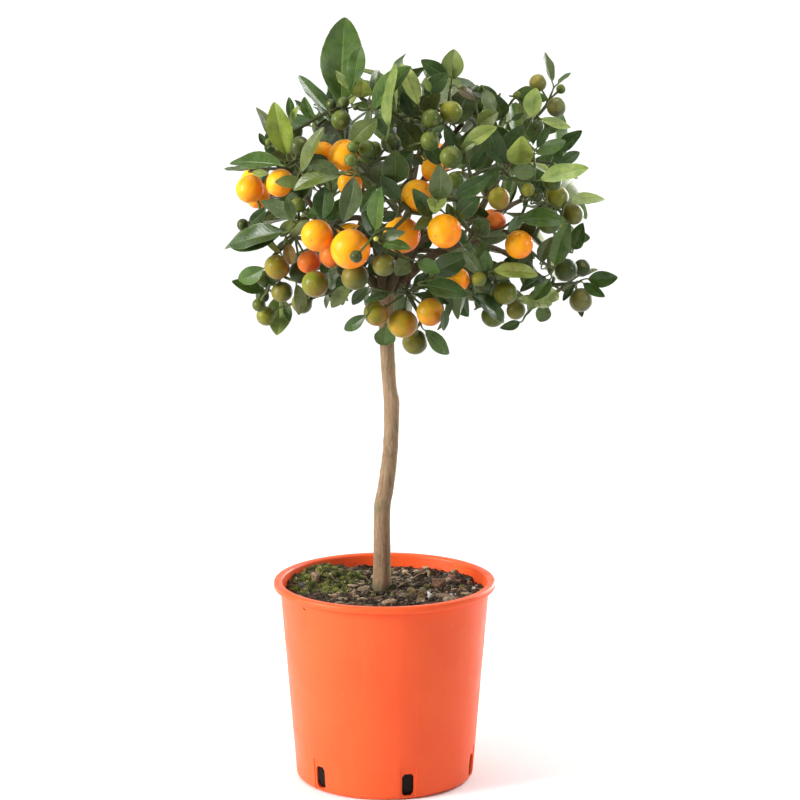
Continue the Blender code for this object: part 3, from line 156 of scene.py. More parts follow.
STALK_END = 0.006
THICKENING = 0.22
BEND_PASSES = 3
CLOSE_TO_END = 0.02
BEND_WITHIN = 0.94

# Base colours of leaves by tone
LEAF_COLOURS = {
    "d": (0.036, 0.068, 0.014), "m": (0.060, 0.112, 0.018), "o": (0.105, 0.130, 0.027),
    "p": (0.240, 0.290, 0.075), "y": (0.260, 0.325, 0.068), "q": (0.225, 0.275, 0.030),
    "g": (0.080, 0.110, 0.038), "w": (0.350, 0.430, 0.090), "h": (0.160, 0.205, 0.046),
    "b": (0.180, 0.110, 0.032), "k": (0.065, 0.048, 0.018),
}
# Leaf tips in the photograph by tone
LEAF_TIPS = {
    "b": ((292, 265),),
    "k": ((476, 100),),
    "q": ((275, 106),),
    # Tone w is pale new growth, made brighter still for leaves that lie in shade: partly painted light.
    "w": ((362, 75), (522, 136)),
    "h": ((454, 49), (497, 127), (396, 63)),
    "d": ((418, 104), (390, 108), (378, 118), (398, 122), (374, 84), (259, 133), (421, 60), (448, 73),
          (497, 94), (524, 113), (487, 122), (524, 125), (550, 128), (402, 92), (422, 140), (536, 216),
          (509, 232), (563, 301), (582, 317), (580, 152), (590, 238), (505, 323), (520, 291), (467, 299),
          (470, 254), (519, 254), (534, 250), (490, 290), (500, 328), (395, 150), (413, 189), (490, 175),
          (480, 197), (488, 220), (380, 176), (500, 168), (486, 146), (322, 219), (322, 214), (306, 155),
          (360, 212), (249, 223), (230, 246), (265, 275), (344, 330), (444, 331), (365, 302), (352, 305)),
    # Tone g is a greyer green that stands in for the silvery sheen of glossy leaves: painted reflection.
    "g": ((320, 134), (468, 90), (495, 112), (545, 52), (537, 172), (508, 236), (552, 237), (480, 271),
          (392, 279), (405, 232), (439, 165), (343, 222), (308, 163), (224, 169), (261, 201), (224, 249)),
    "m": ((361, 45), (345, 17), (411, 66), (299, 75), (566, 141), (570, 222), (289, 97), (571, 72),
          (583, 223), (618, 278), (605, 297), (534, 300), (540, 322), (486, 250), (440, 272), (411, 249),
          (381, 187), (229, 162), (286, 197), (238, 280), (232, 281), (383, 346), (450, 354), (290, 321)),
    "o": ((377, 120), (256, 107), (324, 127), (440, 94), (498, 112), (476, 142), (598, 269), (293, 190),
          (276, 182), (299, 315), (331, 308)),
    "p": ((277, 335), (571, 127), (435, 214), (545, 302), (336, 70), (401, 63), (528, 96), (536, 88),
          (605, 200), (552, 304), (265, 240)),
    "y": ((299, 106), (424, 78), (589, 168), (538, 275), (269, 174)),
}
# Base colours of fruits by tone
# Tone r is a darker, redder copy of orange: painted shade on ripe fruits deep in the crown.
FRUIT_COLOURS = {
    "o": (0.96, 0.390, 0.010), "r": (0.70, 0.170, 0.022), "m": (0.43, 0.260, 0.018),
    "n": (0.62, 0.260, 0.014), "y": (0.270, 0.205, 0.020), "b": (0.200, 0.185, 0.020),
    "M": (0.066, 0.100, 0.020), "D": (0.034, 0.054, 0.016), "Y": (0.130, 0.150, 0.020),
    "G": (0.120, 0.130, 0.050), "B": (0.115, 0.122, 0.028), "P": (0.42, 0.44, 0.12),
    "S": (0.055, 0.085, 0.026),
}
# Turning fruits in the photograph by tone, and under r the ripe ones deep in the crown; the rest of the ripe
# ones are orange
TURNING_AND_SHADED_RIPE = {
    "r": ((496, 222), (309, 262), (333, 255)), "m": ((402, 323),), "n": ((430, 312),),
    "y": ((376, 313), (277, 267), (499, 198)), "b": ((315, 284),),
}
# Unripe fruits in the photograph by tone; the rest are mid green
UNRIPE = {
    "B": ((538, 83), (384, 265), (573, 214), (282, 292), (302, 303), (355, 277), (415, 342), (516, 310)),
    "D": ((332, 104), (356, 108), (391, 143), (300, 146), (243, 225), (538, 126), (537, 195), (566, 270),
          (582, 268), (301, 272), (262, 296), (356, 256), (485, 284)),
    "G": ((556, 107), (581, 300)),
    "M": ((259, 305),),
    "P": ((376, 239),),
    "S": ((344, 102),),
    "Y": ((451, 112), (528, 190), (557, 197), (266, 316), (479, 279), (506, 293)),
}
NEAR_PIXELS = 7.0
# Leaves of the photograph that the solids have no room for
# Foot across and down, tip across and down, width, all in pixels, and millimetres under the surface
LEAVES_ADDED = (
    (374, 118, 390, 108, 8, 10), (385, 136, 378, 118, 9, 8), (290, 119, 289, 97, 9, 0),
    (291, 124, 299, 106, 7, 0), (266, 146, 259, 133, 7, 8), (462, 150, 476, 142, 9, 5),
    (511, 120, 524, 113, 6, 5), (532, 118, 536, 88, 19, 0), (558, 84, 571, 72, 5, 5),
    (520, 216, 509, 232, 10, 5), (577, 277, 598, 269, 7, 5), (575, 284, 563, 301, 8, 8),
    (579, 300, 582, 317, 9, 10), (545, 303, 540, 322, 16, 5), (476, 308, 490, 290, 12, 14),
    (325, 187, 322, 219, 22, 0), (340, 173, 308, 163, 14, 8), (252, 172, 269, 174, 8, 4),
    (266, 208, 249, 223, 12, 10), (280, 253, 265, 240, 7, 0), (288, 243, 292, 265, 13, 0),
    (275, 284, 265, 275, 8, 8), (350, 285, 331, 308, 15, 0), (385, 326, 383, 346, 22, 0),
    (284, 306, 290, 321, 8, 8), (430, 92, 424, 78, 7, 5), (282, 233, 230, 246, 22, 2),
    (432, 214, 414, 230, 12, 30), (453, 224, 447, 203, 11, 26), (452, 149, 445, 124, 12, 22),
    (396, 213, 381, 221, 9, 20), (537, 148, 550, 128, 9, 0), (389, 127, 395, 63, 12, 0),
)
SLIDES = (0.0, -0.005, 0.005, -0.010, 0.010, -0.015, 0.015, 0.020, -0.020, 0.026, 0.032, 0.040)
LEAF_RATIOS = (0.40, 0.60)
STEEPEST_ROLL = radians(66)
DEEPEST_SLOPE = 0.6
DEEPEST_SHORT = 0.012
BASE_SUNK = 0.012
LEAF_FOLDS = (0.12, 0.34)
LEAF_CLEARANCE = 0.0010
# Leaves that fill the crown's inside: tries for each spray, how far out they may reach, and their sizes
INNER_TRIES = 44
INNER_REACH = 0.86
INNER_LENGTH = (0.026, 0.044)
INNER_STALK = 0.007
OUTWARD_PULL = 0.6
SEED = 41


# Picture and space

def seen_at(across, down, depth):
    """The point at world depth y that the photograph shows at this pixel."""
    right = (across - PICTURE_SIZE / 2) / PICTURE_SCALE
    up = (PICTURE_SIZE / 2 - down) / PICTURE_SCALE
    ray = Vector((right, cos(TILT) + up * sin(TILT), up * cos(TILT) - sin(TILT)))
    return EYE + ray * ((depth - EYE.y) / ray.y)


def pixel_of(point):
    """Where the photograph shows this point."""
    offset = point - EYE
    ahead = offset.y * cos(TILT) - offset.z * sin(TILT)
    above = offset.z * cos(TILT) + offset.y * sin(TILT)
    scale = PICTURE_SCALE / ahead
    return Vector((PICTURE_SIZE / 2 + offset.x * scale, PICTURE_SIZE / 2 - above * scale))


def tone_at(point, table, default):
    """The tone listed nearest to where the photograph shows this point, or the default."""
    here = pixel_of(point)
    away, tone = min(((Vector(spot) - here).length, tone) for tone, spots in table.items() for spot in spots)
    return tone if away < NEAR_PIXELS else default


# Reading the solids

WELD = 2e-5
LEAST_BLADE = 0.006
LEAST_FRUIT = 0.0015
# How far a measure may be off, as a share of it
THICKNESS_OFF = 0.1
EDGES_OFF = 0.04
ROUND_OFF = 0.03


class Leaf:
    """One blade: foot, tip, the way it faces, its width, fold and arch, and the root of its stalk."""

    def __init__(self, foot, tip, normal, width, fold, arch):
        self.foot = foot
        self.tip = tip
        self.width = width
        self.fold = fold
        self.arch = arch
        self.along = (tip - foot).normalized()
        self.side = self.along.cross(normal).normalized()
        self.up = self.side.cross(self.along)
        self.root = foot
        self.inner = False


class Fruit:
    """A fruit: its middle, its radius, the way to its stalk, and whether it is ripe."""

    def __init__(self, centre, radius, pole, ripe):
        self.centre = centre
        self.radius = radius
        self.pole = pole
        self.ripe = ripe

    def stalk_end(self):
        return self.centre + self.pole * (self.radius * FRUIT_FLATNESS + STALK_END)


def welded(node):
    """A solid's corners, merged, and the corners that each is joined to."""
    work = bmesh.new()
    work.from_mesh(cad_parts[node].data)
    bmesh.ops.remove_doubles(work, verts=work.verts, dist=WELD)
    work.verts.index_update()
    corners = [corner.co.copy() for corner in work.verts]
    links = [{edge.other_vert(corner).index for edge in corner.link_edges} for corner in work.verts]
    work.free()
    return corners, links


def cut_leaf(tip, middle, normal, width, fold, edges):
    """A leaf whose near section is lost in the solid, taken as straight, if it has a leaf's proportions."""
    run = (tip - middle) / (1 - FAR_STATION)
    left, right = [(edge - middle).length for edge in edges]
    if not LEAF_RATIO[0] < width / run.length < LEAF_RATIO[1] or abs(left - right) > left * EDGES_OFF:
        return None
    return Leaf(tip - run, tip, normal, width, fold, 0.0)


def read_leaf(corners, links, end):
    """The leaf that has its tip at this corner, or None. A section of four corners lies behind the tip."""
    ring = sorted(links[end])
    if len(ring) != 4:
        return None
    across = [corner for corner in ring[1:] if corner not in links[ring[0]]]
    if len(across) != 1:
        return None
    pairs = [[ring[0], across[0]], [corner for corner in ring[1:] if corner != across[0]]]
    pairs.sort(key=lambda pair: (corners[pair[0]] - corners[pair[1]]).length)
    spine, edges = pairs
    tip = corners[end]
    top, bottom = [corners[corner] for corner in spine]
    left, right = [corners[corner] for corner in edges]
    middle = (top + bottom) / 2
    thick = (top - bottom).length
    if abs(thick - LEAF_THICKNESS) > LEAF_THICKNESS * THICKNESS_OFF or (tip - middle).length < LEAST_BLADE:
        return None
    normal = (top - bottom).normalized()
    lift = ((left + right) / 2 - middle).dot(normal)
    if lift < 0:
        normal = -normal
    width = (left - right).length / FAR_SHARE
    fold = abs(lift) / (width * FAR_SHARE / 2)
    beyond = [links[edge] - {end} - set(spine) for edge in edges]
    shared = [corners[corner] for corner in sorted(beyond[0] & beyond[1])]
    if len(shared) != 2:
        return cut_leaf(tip, middle, normal, width, fold, (left, right))
    near = (shared[0] + shared[1]) / 2
    near_bow = 4 * NEAR_STATION * (1 - NEAR_STATION)
    far_bow = 4 * FAR_STATION * (1 - FAR_STATION)
    first = middle - near
    last = tip - middle
    between = FAR_STATION - NEAR_STATION
    beyond_far = 1 - FAR_STATION
    scale = -between * far_bow - beyond_far * (far_bow - near_bow)
    run = (first * -far_bow - last * (far_bow - near_bow)) / scale
    bow = (last * between - first * beyond_far) / scale
    return Leaf(tip - run, tip, normal, width, fold, bow.dot(normal) / run.length)


def read_unripe(corners, links, end):
    """The unripe fruit that ends at this corner, opposite its stalk, or None."""
    ring = links[end]
    if len(ring) not in (5, 6):
        return None
    middle = sum((corners[corner] for corner in ring), Vector()) / len(ring)
    reaches = [(corners[corner] - middle).length for corner in ring]
    reach = sum(reaches) / len(reaches)
    polar = radians(45 if len(ring) == 6 else 60)
    radius = reach / sin(polar)
    if radius < LEAST_FRUIT or max(reaches) - min(reaches) > reach * ROUND_OFF:
        return None
    pole = (middle - corners[end]).normalized()
    return Fruit(corners[end] + pole * radius, radius, pole, False)


def read_ripe(node, stalks):
    """A ripe fruit from its own solid, with the spray that it hangs on."""
    corners, links = welded(node)
    poles = sorted(range(len(corners)), key=lambda corner: -len(links[corner]))[:2]
    ends = [corners[pole] for pole in poles]
    nearest = [min(((corner - end).length, name) for name, found in stalks.items() for corner in found)
               for end in ends]
    top = 0 if nearest[0][0] < nearest[1][0] else 1
    pole = (ends[top] - ends[1 - top]).normalized()
    radius = (ends[0] - ends[1]).length / (2 * FRUIT_FLATNESS)
    return Fruit((ends[0] + ends[1]) / 2, radius, pole, True), nearest[top][1]


# Routes of trunk, limbs and twigs

def smooth_route(points, radii, steps):
    """Points and radii along a smooth curve through the given ones."""
    out_points = []
    out_radii = []
    for index in range(len(points) - 1):
        before = points[max(index - 1, 0)]
        start = points[index]
        end = points[index + 1]
        after = points[min(index + 2, len(points) - 1)]
        for step in range(steps):
            t = step / steps
            out_points.append(0.5 * (2 * start + (end - before) * t
                                     + (2 * before - 5 * start + 4 * end - after) * t * t
                                     + (3 * start - before - 3 * end + after) * t ** 3))
            out_radii.append(radii[index] + (radii[index + 1] - radii[index]) * t)
    out_points.append(points[-1])
    out_radii.append(radii[-1])
    return out_points, out_radii


def trunk_routes():
    """The trunk's own route and radii, the limbs' routes, and each spray's heading."""
    points = [seen_at(across, down, 0.0) for across, down, _ in TRUNK_SEEN]
    radii = [seen[2] / 2 * (point - EYE).length / PICTURE_SCALE for seen, point in zip(TRUNK_SEEN, points)]
    foot = Vector((points[0].x, 0.0, SOIL_LEVEL - HOLE_DEPTH + GAP))
    neck = Vector((points[0].x, 0.0, SOIL_LEVEL - SOIL_LUMPS))
    points = [foot, neck] + points
    radii = [radii[0] * NECK_WIDENING] * 2 + radii
    head = points[-1]
    below = points[-2]
    rise = (head - below).normalized()
    limbs = []
    headings = {}
    for fork_seen, names in LIMBS:
        fork = seen_at(*fork_seen)
        middle = head.lerp(fork, 0.5) + rise * LIMB_BOW
        for name in names:
            end = START_POINTS[name]
            heading = (end - fork).normalized()
            bend = fork.lerp(end, 0.5) + (rise - heading * 0.5) * LIMB_BOW
            headings[name] = (end - bend).normalized()
            if name == names[0]:
                limbs.append(([below.lerp(head, 0.7), middle, fork, bend, end],
                              [LIMB_RADIUS * 1.2, LIMB_RADIUS, FORK_RADIUS, SPRAY_START_RADIUS * 1.2,
                               SPRAY_START_RADIUS]))
            else:
                limbs.append(([fork, bend, end],
                              [FORK_RADIUS * 0.7, SPRAY_START_RADIUS * 1.1, SPRAY_START_RADIUS]))
    return points, radii, limbs, headings


def clear_of_fruits(point, fruits):
    """The point, pushed out of any fruit that it lies in."""
    for fruit in fruits:
        offset = point - fruit.centre
        room = fruit.radius + TWIG_CLEARANCE
        if offset.length < room:
            point = fruit.centre + offset.normalized() * room
    return point


def bent_round_fruits(start, end, fruits):
    """The run from start to end, with a bend wherever it would pass through a fruit."""
    points = [start, end]
    for _ in range(BEND_PASSES):
        bends = []
        for first, second in zip(points, points[1:]):
            run = second - first
            for fruit in fruits:
                share = (fruit.centre - first).dot(run) / max(run.length_squared, 1e-12)
                offset = first + run * share - fruit.centre
                room = fruit.radius + TWIG_CLEARANCE
                if CLOSE_TO_END < share < 1 - CLOSE_TO_END and 1e-5 < offset.length < room * BEND_WITHIN:
                    bends.append((points.index(second), fruit.centre + offset.normalized() * room))
                    break
        if not bends:
            break
        for index, bend in reversed(bends):
            points.insert(index, bend)
    return points


class Twigs:
    """The twigs of one spray: a tree of places that its leaves and fruits grow on."""

    def __init__(self, name, heading, leaves, fruits, all_fruits):
        start = START_POINTS[name]
        self.name = name
        self.places = [start, start + heading * FIRST_RUN]
        self.parents = [None, 0]
        self.leaves = leaves
        self.fruits = fruits
        seats = [(leaf.foot, leaf) for leaf in leaves]
        seats += [(fruit.stalk_end(), fruit) for fruit in fruits]
        seats.sort(key=lambda seat: (seat[0] - self.places[1]).length)
        for seat, thing in seats:
            thing.root = self.root_for(seat, all_fruits)

    def root_for(self, seat, all_fruits):
        """The twig place that a stalk to this seat grows from, on a new twig if none is near."""
        nearest = min(range(1, len(self.places)), key=lambda index: (self.places[index] - seat).length)
        if (self.places[nearest] - seat).length > PETIOLE_REACH:
            nearest = self.extended(nearest, seat, all_fruits)
        return self.places[nearest]

    def extended(self, nearest, seat, all_fruits):
        """Grow runs towards the seat, ending a little short of it."""
        run = seat - self.places[nearest]
        end = clear_of_fruits(seat - run.normalized() * NODE_SETBACK, all_fruits)
        for place in bent_round_fruits(self.places[nearest], end, all_fruits)[1:]:
            if (place - self.places[nearest]).length >= SHORTEST_RUN:
                self.places.append(place)
                self.parents.append(nearest)
                nearest = len(self.places) - 1
        return nearest

    def runs(self):
        """The twigs as long routes with radii, the heaviest branch carried on first."""
        load = [1] * len(self.places)
        for index in range(len(self.places) - 1, 0, -1):
            load[self.parents[index]] += load[index]
        radii = [min(SPRAY_START_RADIUS, TWIG_RADIUS * count ** THICKENING) for count in load]
        children = {index: [] for index in range(len(self.places))}
        for index in range(1, len(self.places)):
            children[self.parents[index]].append(index)
        waiting = [[0]]
        runs = []
        while waiting:
            run = waiting.pop()
            while children[run[-1]]:
                ordered = sorted(children[run[-1]], key=lambda index: -load[index])
                for index in ordered[1:]:
                    waiting.append([run[-1], index])
                run.append(ordered[0])
            if len(run) > 1:
                runs.append(([self.places[index] for index in run], [radii[index] for index in run]))
        return runs


START_POINTS = {name: seen_at(*seen) for name, seen in SPRAY_STARTS.items()}


# Making meshes

BOX_MARGIN = 0.0002


def kept_inside(point):
    """The point, brought back inside the solids' own box where a ripple or a lump would leave it."""
    x, y = [min(max(point[k], cad_box[0][k] + BOX_MARGIN), cad_box[1][k] - BOX_MARGIN) for k in (0, 1)]
    return Vector((x, y, min(max(point.z, cad_box[0][2]), cad_box[1][2] - BOX_MARGIN)))


def new_object(name, data):
    """A mesh, a light or a camera as an object of the scene."""
    made = bpy.data.objects.new(name, data)
    bpy.context.scene.collection.objects.link(made)
    return made


def smooth_mesh(name, corners, faces, materials=()):
    mesh = bpy.data.meshes.new(name)
    mesh.from_pydata([tuple(corner) for corner in corners], [], faces)
    mesh.polygons.foreach_set("use_smooth", [True] * len(mesh.polygons))
    for material in materials:
        mesh.materials.append(material)
    return mesh


class Builder:
    """Collects corners with a tint and a place on their leaf or fruit, and faces with their material."""

    def __init__(self):
        self.corners = []
        self.faces = []
        self.slots = []
        self.tints = []
        self.places = []

    def add(self, corners, faces, slot, tint, places=None):
        start = len(self.corners)
        self.corners += [kept_inside(corner) for corner in corners]
        self.faces += [tuple(start + corner for corner in face) for face in faces]
        self.slots += [slot] * len(faces)
        self.tints += tint if isinstance(tint, list) else [tint] * len(corners)
        self.places += places or [Vector((0, 0, 0))] * len(corners)

    def make(self, name, materials, replaced=()):
        """The collected faces as a piece of the object."""
        mesh = smooth_mesh(name, self.corners, self.faces, materials)
        mesh.polygons.foreach_set("material_index", self.slots)
        tint = mesh.attributes.new("tint", "FLOAT_COLOR", "POINT")
        tint.data.foreach_set("color", [value for colour in self.tints for value in colour])
        place = mesh.attributes.new("place", "FLOAT_VECTOR", "POINT")
        place.data.foreach_set("vector", [value for spot in self.places for value in spot])
        piece = new_object(name, mesh)
        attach(piece, "root")
        if replaced:
            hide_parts(*replaced)


def grid_faces(rows, columns, closed):
    """Faces of a grid of corners, rows by columns, closed round if asked."""
    wide = columns if closed else columns - 1
    faces = []
    for row in range(rows - 1):
        for column in range(wide):
            after = (column + 1) % columns
            faces.append((row * columns + column, row * columns + after,
                          (row + 1) * columns + after, (row + 1) * columns + column))
    return faces


def closed_faces(rows, columns):
    """Faces of a tube, with both ends closed."""
    last = (rows - 1) * columns
    ends = [tuple(reversed(range(columns))), tuple(range(last, last + columns))]
    return grid_faces(rows, columns, True) + ends


def shaded(colour, draw, spread=0.12, share=0.0):
    """A tint with a small random change of brightness, and a share for its second colour."""
    bright = 1 + draw.uniform(-spread, spread)
    warm = 1 + draw.uniform(-spread, spread) * 0.5
    red, green, blue = colour[:3]
    return (min(1.0, red * bright * warm), min(1.0, green * bright), min(1.0, blue * bright), share)


def drawn_shift(draw, far):
    """A seeded place to read the noise at, so that no two pieces are alike."""
    return Vector([draw.random() * far for _ in range(3)])


# Leaves

LEAF_ROWS = 15
LEAF_COLUMNS = (-1.0, -0.90, -0.66, -0.35, -0.07, 0.0, 0.07, 0.35, 0.66, 0.90, 1.0)
BLADE = 0.0005
WHOLE_TURN = 6.28
# Half waves along the margin and their height, and how far the blade bends aside and its tip turns
WAVES = (2.2, 3.8)
RIPPLES = (0.02, 0.11)
SIDEWAYS = 0.05
TIP_TURNS = (-0.035, 0.015)
TIP_START = 0.7


def blade_width(along):
    """A leaf's width along its blade, as a share of the widest."""
    along = min(max(along, 0.0), 1.0)
    return max(0.0, sin(pi * along ** 0.9)) ** (0.88 - 0.20 * along)


def add_leaf(build, leaf, tint, draw):
    """Upper and lower face of one blade, folded along its midrib, with a rippled margin."""
    length = (leaf.tip - leaf.foot).length
    half = leaf.width / 2
    waves = draw.uniform(*WAVES) * pi
    ripple = draw.uniform(*RIPPLES)
    phases = (draw.uniform(0, WHOLE_TURN), draw.uniform(0, WHOLE_TURN))
    bend = draw.uniform(-SIDEWAYS, SIDEWAYS) * length
    tip_turn = draw.uniform(*TIP_TURNS) * length
    grain = draw.random()
    upper = []
    lower = []
    places = []
    for row in range(LEAF_ROWS):
        along = 0.5 - 0.5 * cos(pi * row / (LEAF_ROWS - 1))
        bow = 4 * along * (1 - along)
        wide = half * blade_width(along)
        middle = leaf.foot.lerp(leaf.tip, along) + leaf.up * bow * leaf.arch * length
        middle += leaf.side * bow * bend + leaf.up * tip_turn * max(0.0, along - TIP_START) / 0.3
        for across in LEAF_COLUMNS:
            out = abs(across)
            lift = wide * leaf.fold * (1.18 * out - 0.18 * out ** 3)
            wave = sin(waves * along + phases[across > 0])
            lift += half * ripple * out ** 2 * wave * min(1.0, bow * 1.6)
            spot = middle + leaf.side * across * wide + leaf.up * lift
            upper.append(spot)
            lower.append(spot - leaf.up * BLADE * (1 - out ** 4) * min(1.0, bow * 3))
            places.append(Vector((along, across, grain)))
    faces = grid_faces(LEAF_ROWS, len(LEAF_COLUMNS), False)
    build.add(upper, faces, 0, tint, places)
    build.add(lower, [face[::-1] for face in faces], 1, tint, places)


# Leaves beyond the solids' own

def crown_front(across, down):
    """World depth of the crown's near surface at this pixel."""
    flat = seen_at(across, down, 0.0) - CROWN_CENTRE
    spread = (flat.x / CROWN_HALF.x) ** 2 + (flat.z / CROWN_HALF.z) ** 2
    return -CROWN_HALF.y * sqrt(max(0.02, 1.0 - spread))


def leaf_from_picture(row, slide, draw):
    """A leaf that looks as the photograph shows it, moved along the line of sight by slide."""
    foot_x, foot_y, tip_x, tip_y, width, sunk = row
    foot_depth = crown_front(foot_x, foot_y) + sunk / 1000 + BASE_SUNK + slide
    foot = seen_at(foot_x, foot_y, foot_depth)
    across = (seen_at(tip_x, tip_y, foot_depth) - foot).length
    deepest = max(DEEPEST_SLOPE * across, DEEPEST_SHORT)
    deeper = crown_front(tip_x, tip_y) + sunk / 1000 + slide - foot_depth
    tip = seen_at(tip_x, tip_y, foot_depth + max(-deepest, min(deepest, deeper)))
    middle = (foot + tip) / 2
    seen_width = width * (middle - EYE).length / PICTURE_SCALE
    length = (tip - foot).length
    real_width = min(max(seen_width, LEAF_RATIOS[0] * length), max(seen_width, LEAF_RATIOS[1] * length))
    roll = min(acos(min(1.0, seen_width / real_width)), STEEPEST_ROLL)
    along = (tip - foot).normalized()
    to_eye = (EYE - middle).normalized()
    facing = (to_eye - along * to_eye.dot(along)).normalized()
    side = along.cross(facing)
    normals = [facing * cos(roll) + side * sin(roll) * way for way in (1, -1)]
    normal = max(normals, key=lambda item: item.z)
    return Leaf(foot, tip, normal, real_width, draw.uniform(*LEAF_FOLDS), draw.uniform(-0.02, 0.08))


COARSE_ROWS = 6
COARSE_START = 0.06


def coarse_blade(leaf):
    """A leaf's blade as a few faces, for clearance."""
    corners = []
    for row in range(COARSE_ROWS):
        along = COARSE_START + (1 - COARSE_START) * row / (COARSE_ROWS - 1)
        middle = leaf.foot.lerp(leaf.tip, along)
        middle += leaf.up * 4 * along * (1 - along) * leaf.arch * (leaf.tip - leaf.foot).length
        wide = leaf.width / 2 * blade_width(along)
        for across in (-1, 0, 1):
            corners.append(middle + leaf.side * across * wide + leaf.up * abs(across) * wide * leaf.fold)
    return corners, grid_faces(COARSE_ROWS, 3, False)


class Clearance:
    """What another leaf has to stay clear of: blades, fruits and wood."""

    def __init__(self, leaves, fruits, wood):
        self.sheets = [BVHTree.FromPolygons(*coarse_blade(leaf)) for leaf in leaves]
        self.fruits = fruits
        self.balls = [(fruit.centre, fruit.radius + LEAF_CLEARANCE) for fruit in fruits]
        for points, radii in wood:
            smooth, widths = smooth_route(points, radii, TWIG_STEPS)
            self.balls += [(point, radius + LEAF_CLEARANCE) for point, radius in zip(smooth, widths)]

    def allows(self, leaf, behind):
        """Whether the leaf fits; one that has to stay behind may not cover a fruit from the front."""
        corners, faces = coarse_blade(leaf)
        middle = (leaf.foot + leaf.tip) / 2
        reach = (leaf.tip - leaf.foot).length
        for centre, room in self.balls:
            if (centre - middle).length < reach + room:
                if any((corner - centre).length < room for corner in corners):
                    return False
        if behind:
            seen = [(pixel_of(corner), corner.y) for corner in corners]
            for fruit in self.fruits:
                spot = pixel_of(fruit.centre)
                size = fruit.radius * PICTURE_SCALE / (fruit.centre - EYE).length
                if any((pixel - spot).length < size and depth < fruit.centre.y for pixel, depth in seen):
                    return False
        tree = BVHTree.FromPolygons(corners, faces)
        return not any(sheet.overlap(tree) for sheet in self.sheets)

    def add(self, leaf):
        self.sheets.append(BVHTree.FromPolygons(*coarse_blade(leaf)))


def add_seen_leaves(sprays, clearance, fruits):
    """The leaves that the photograph shows and the solids leave out, on the nearest twig."""
    for number, row in enumerate(LEAVES_ADDED):
        for slide in SLIDES:
            leaf = leaf_from_picture(row, slide, random.Random(SEED + number))
            if clearance.allows(leaf, False):
                away = [(min((place - leaf.foot).length for place in twigs.places[1:]), twigs)
                        for twigs in sprays]
                twigs = min(away, key=lambda item: item[0])[1]
                leaf.root = twigs.root_for(leaf.foot, fruits)
                twigs.leaves.append(leaf)
                clearance.add(leaf)
                break


def add_inner_leaves(twigs, clearance, draw):
    """Leaves on the spray's own twigs that fill the crown's inside."""
    for _ in range(INNER_TRIES):
        place = twigs.places[draw.randrange(1, len(twigs.places))]
        outward = (place - CROWN_CENTRE).normalized()
        stray = Vector((draw.gauss(0, 0.6), draw.gauss(0, 0.6), draw.gauss(0.1, 0.6)))
        along = (outward * OUTWARD_PULL + stray).normalized()
        foot = place + along * INNER_STALK
        tip = foot + along * draw.uniform(*INNER_LENGTH)
        offset = tip - CROWN_CENTRE
        face = Vector((draw.gauss(0, 0.5), draw.gauss(-0.3, 0.5), 0.8))
        normal = (face - along * face.dot(along)).normalized()
        width = (tip - foot).length * draw.uniform(0.44, 0.56)
        leaf = Leaf(foot, tip, normal, width, draw.uniform(*LEAF_FOLDS), draw.uniform(-0.02, 0.10))
        leaf.root = place
        reach = sqrt(sum((offset[k] / CROWN_HALF[k]) ** 2 for k in range(3)))
        if reach < INNER_REACH and clearance.allows(leaf, True):
            leaf.inner = True
            twigs.leaves.append(leaf)
            clearance.add(leaf)


# Tubes, fruits and calyxes

def frame_across(direction):
    """Two unit vectors square to a direction and to each other."""
    across = direction.cross(Vector((0.13, 0.31, 0.94))).normalized()
    return across, direction.cross(across).normalized()


def add_tube(build, points, radii, sides, slot, tint, relief=None):
    """A closed tube through the points; relief changes the radius by spot and direction."""
    across, _ = frame_across((points[1] - points[0]).normalized())
    corners = []
    places = []
    for index, (point, radius) in enumerate(zip(points, radii)):
        before = points[max(index - 1, 0)]
        after = points[min(index + 1, len(points) - 1)]
        along = (after - before).normalized()
        across = (across - along * across.dot(along)).normalized()
        other = along.cross(across)
        for side in range(sides):
            turn = 2 * pi * side / sides
            out = across * cos(turn) + other * sin(turn)
            reach = radius * (relief(point, out, radius) if relief else 1.0)
            corners.append(point + out * reach)
            places.append(Vector((side / sides, 0, 0)))
    build.add(corners, closed_faces(len(points), sides), slot, tint, places)


# Painted light and shade on the fruits: their tint is raised on the side that faces the key light and lowered
# on the far side
PAINTED_LIGHT_SIDE = Vector((-0.75, -0.45, 0.48)).normalized()
PAINTED_LIT_TINTS = {True: (1.0, 1.12, 1.0), False: (1.75, 1.40, 0.9)}
PAINTED_SHADE_TINTS = {True: (0.86, 0.43, 0.9), False: (0.52, 0.66, 0.9)}
FRUIT_MESH = {True: (48, 32), False: (28, 20)}
FRUIT_LUMPS = {True: (0.010, 0.022), False: (0.006, 0.014)}
# Depths as shares of the radius, and widths as angles from the pole
DIMPLE_DEPTH = 0.075
DIMPLE_WIDTH = 0.26
END_DEPTH = 0.02
END_WIDTH = 0.20
CREASE_DEPTH = 0.010
CREASE_MIDDLE = 0.30
CREASE_WIDTH = 0.22


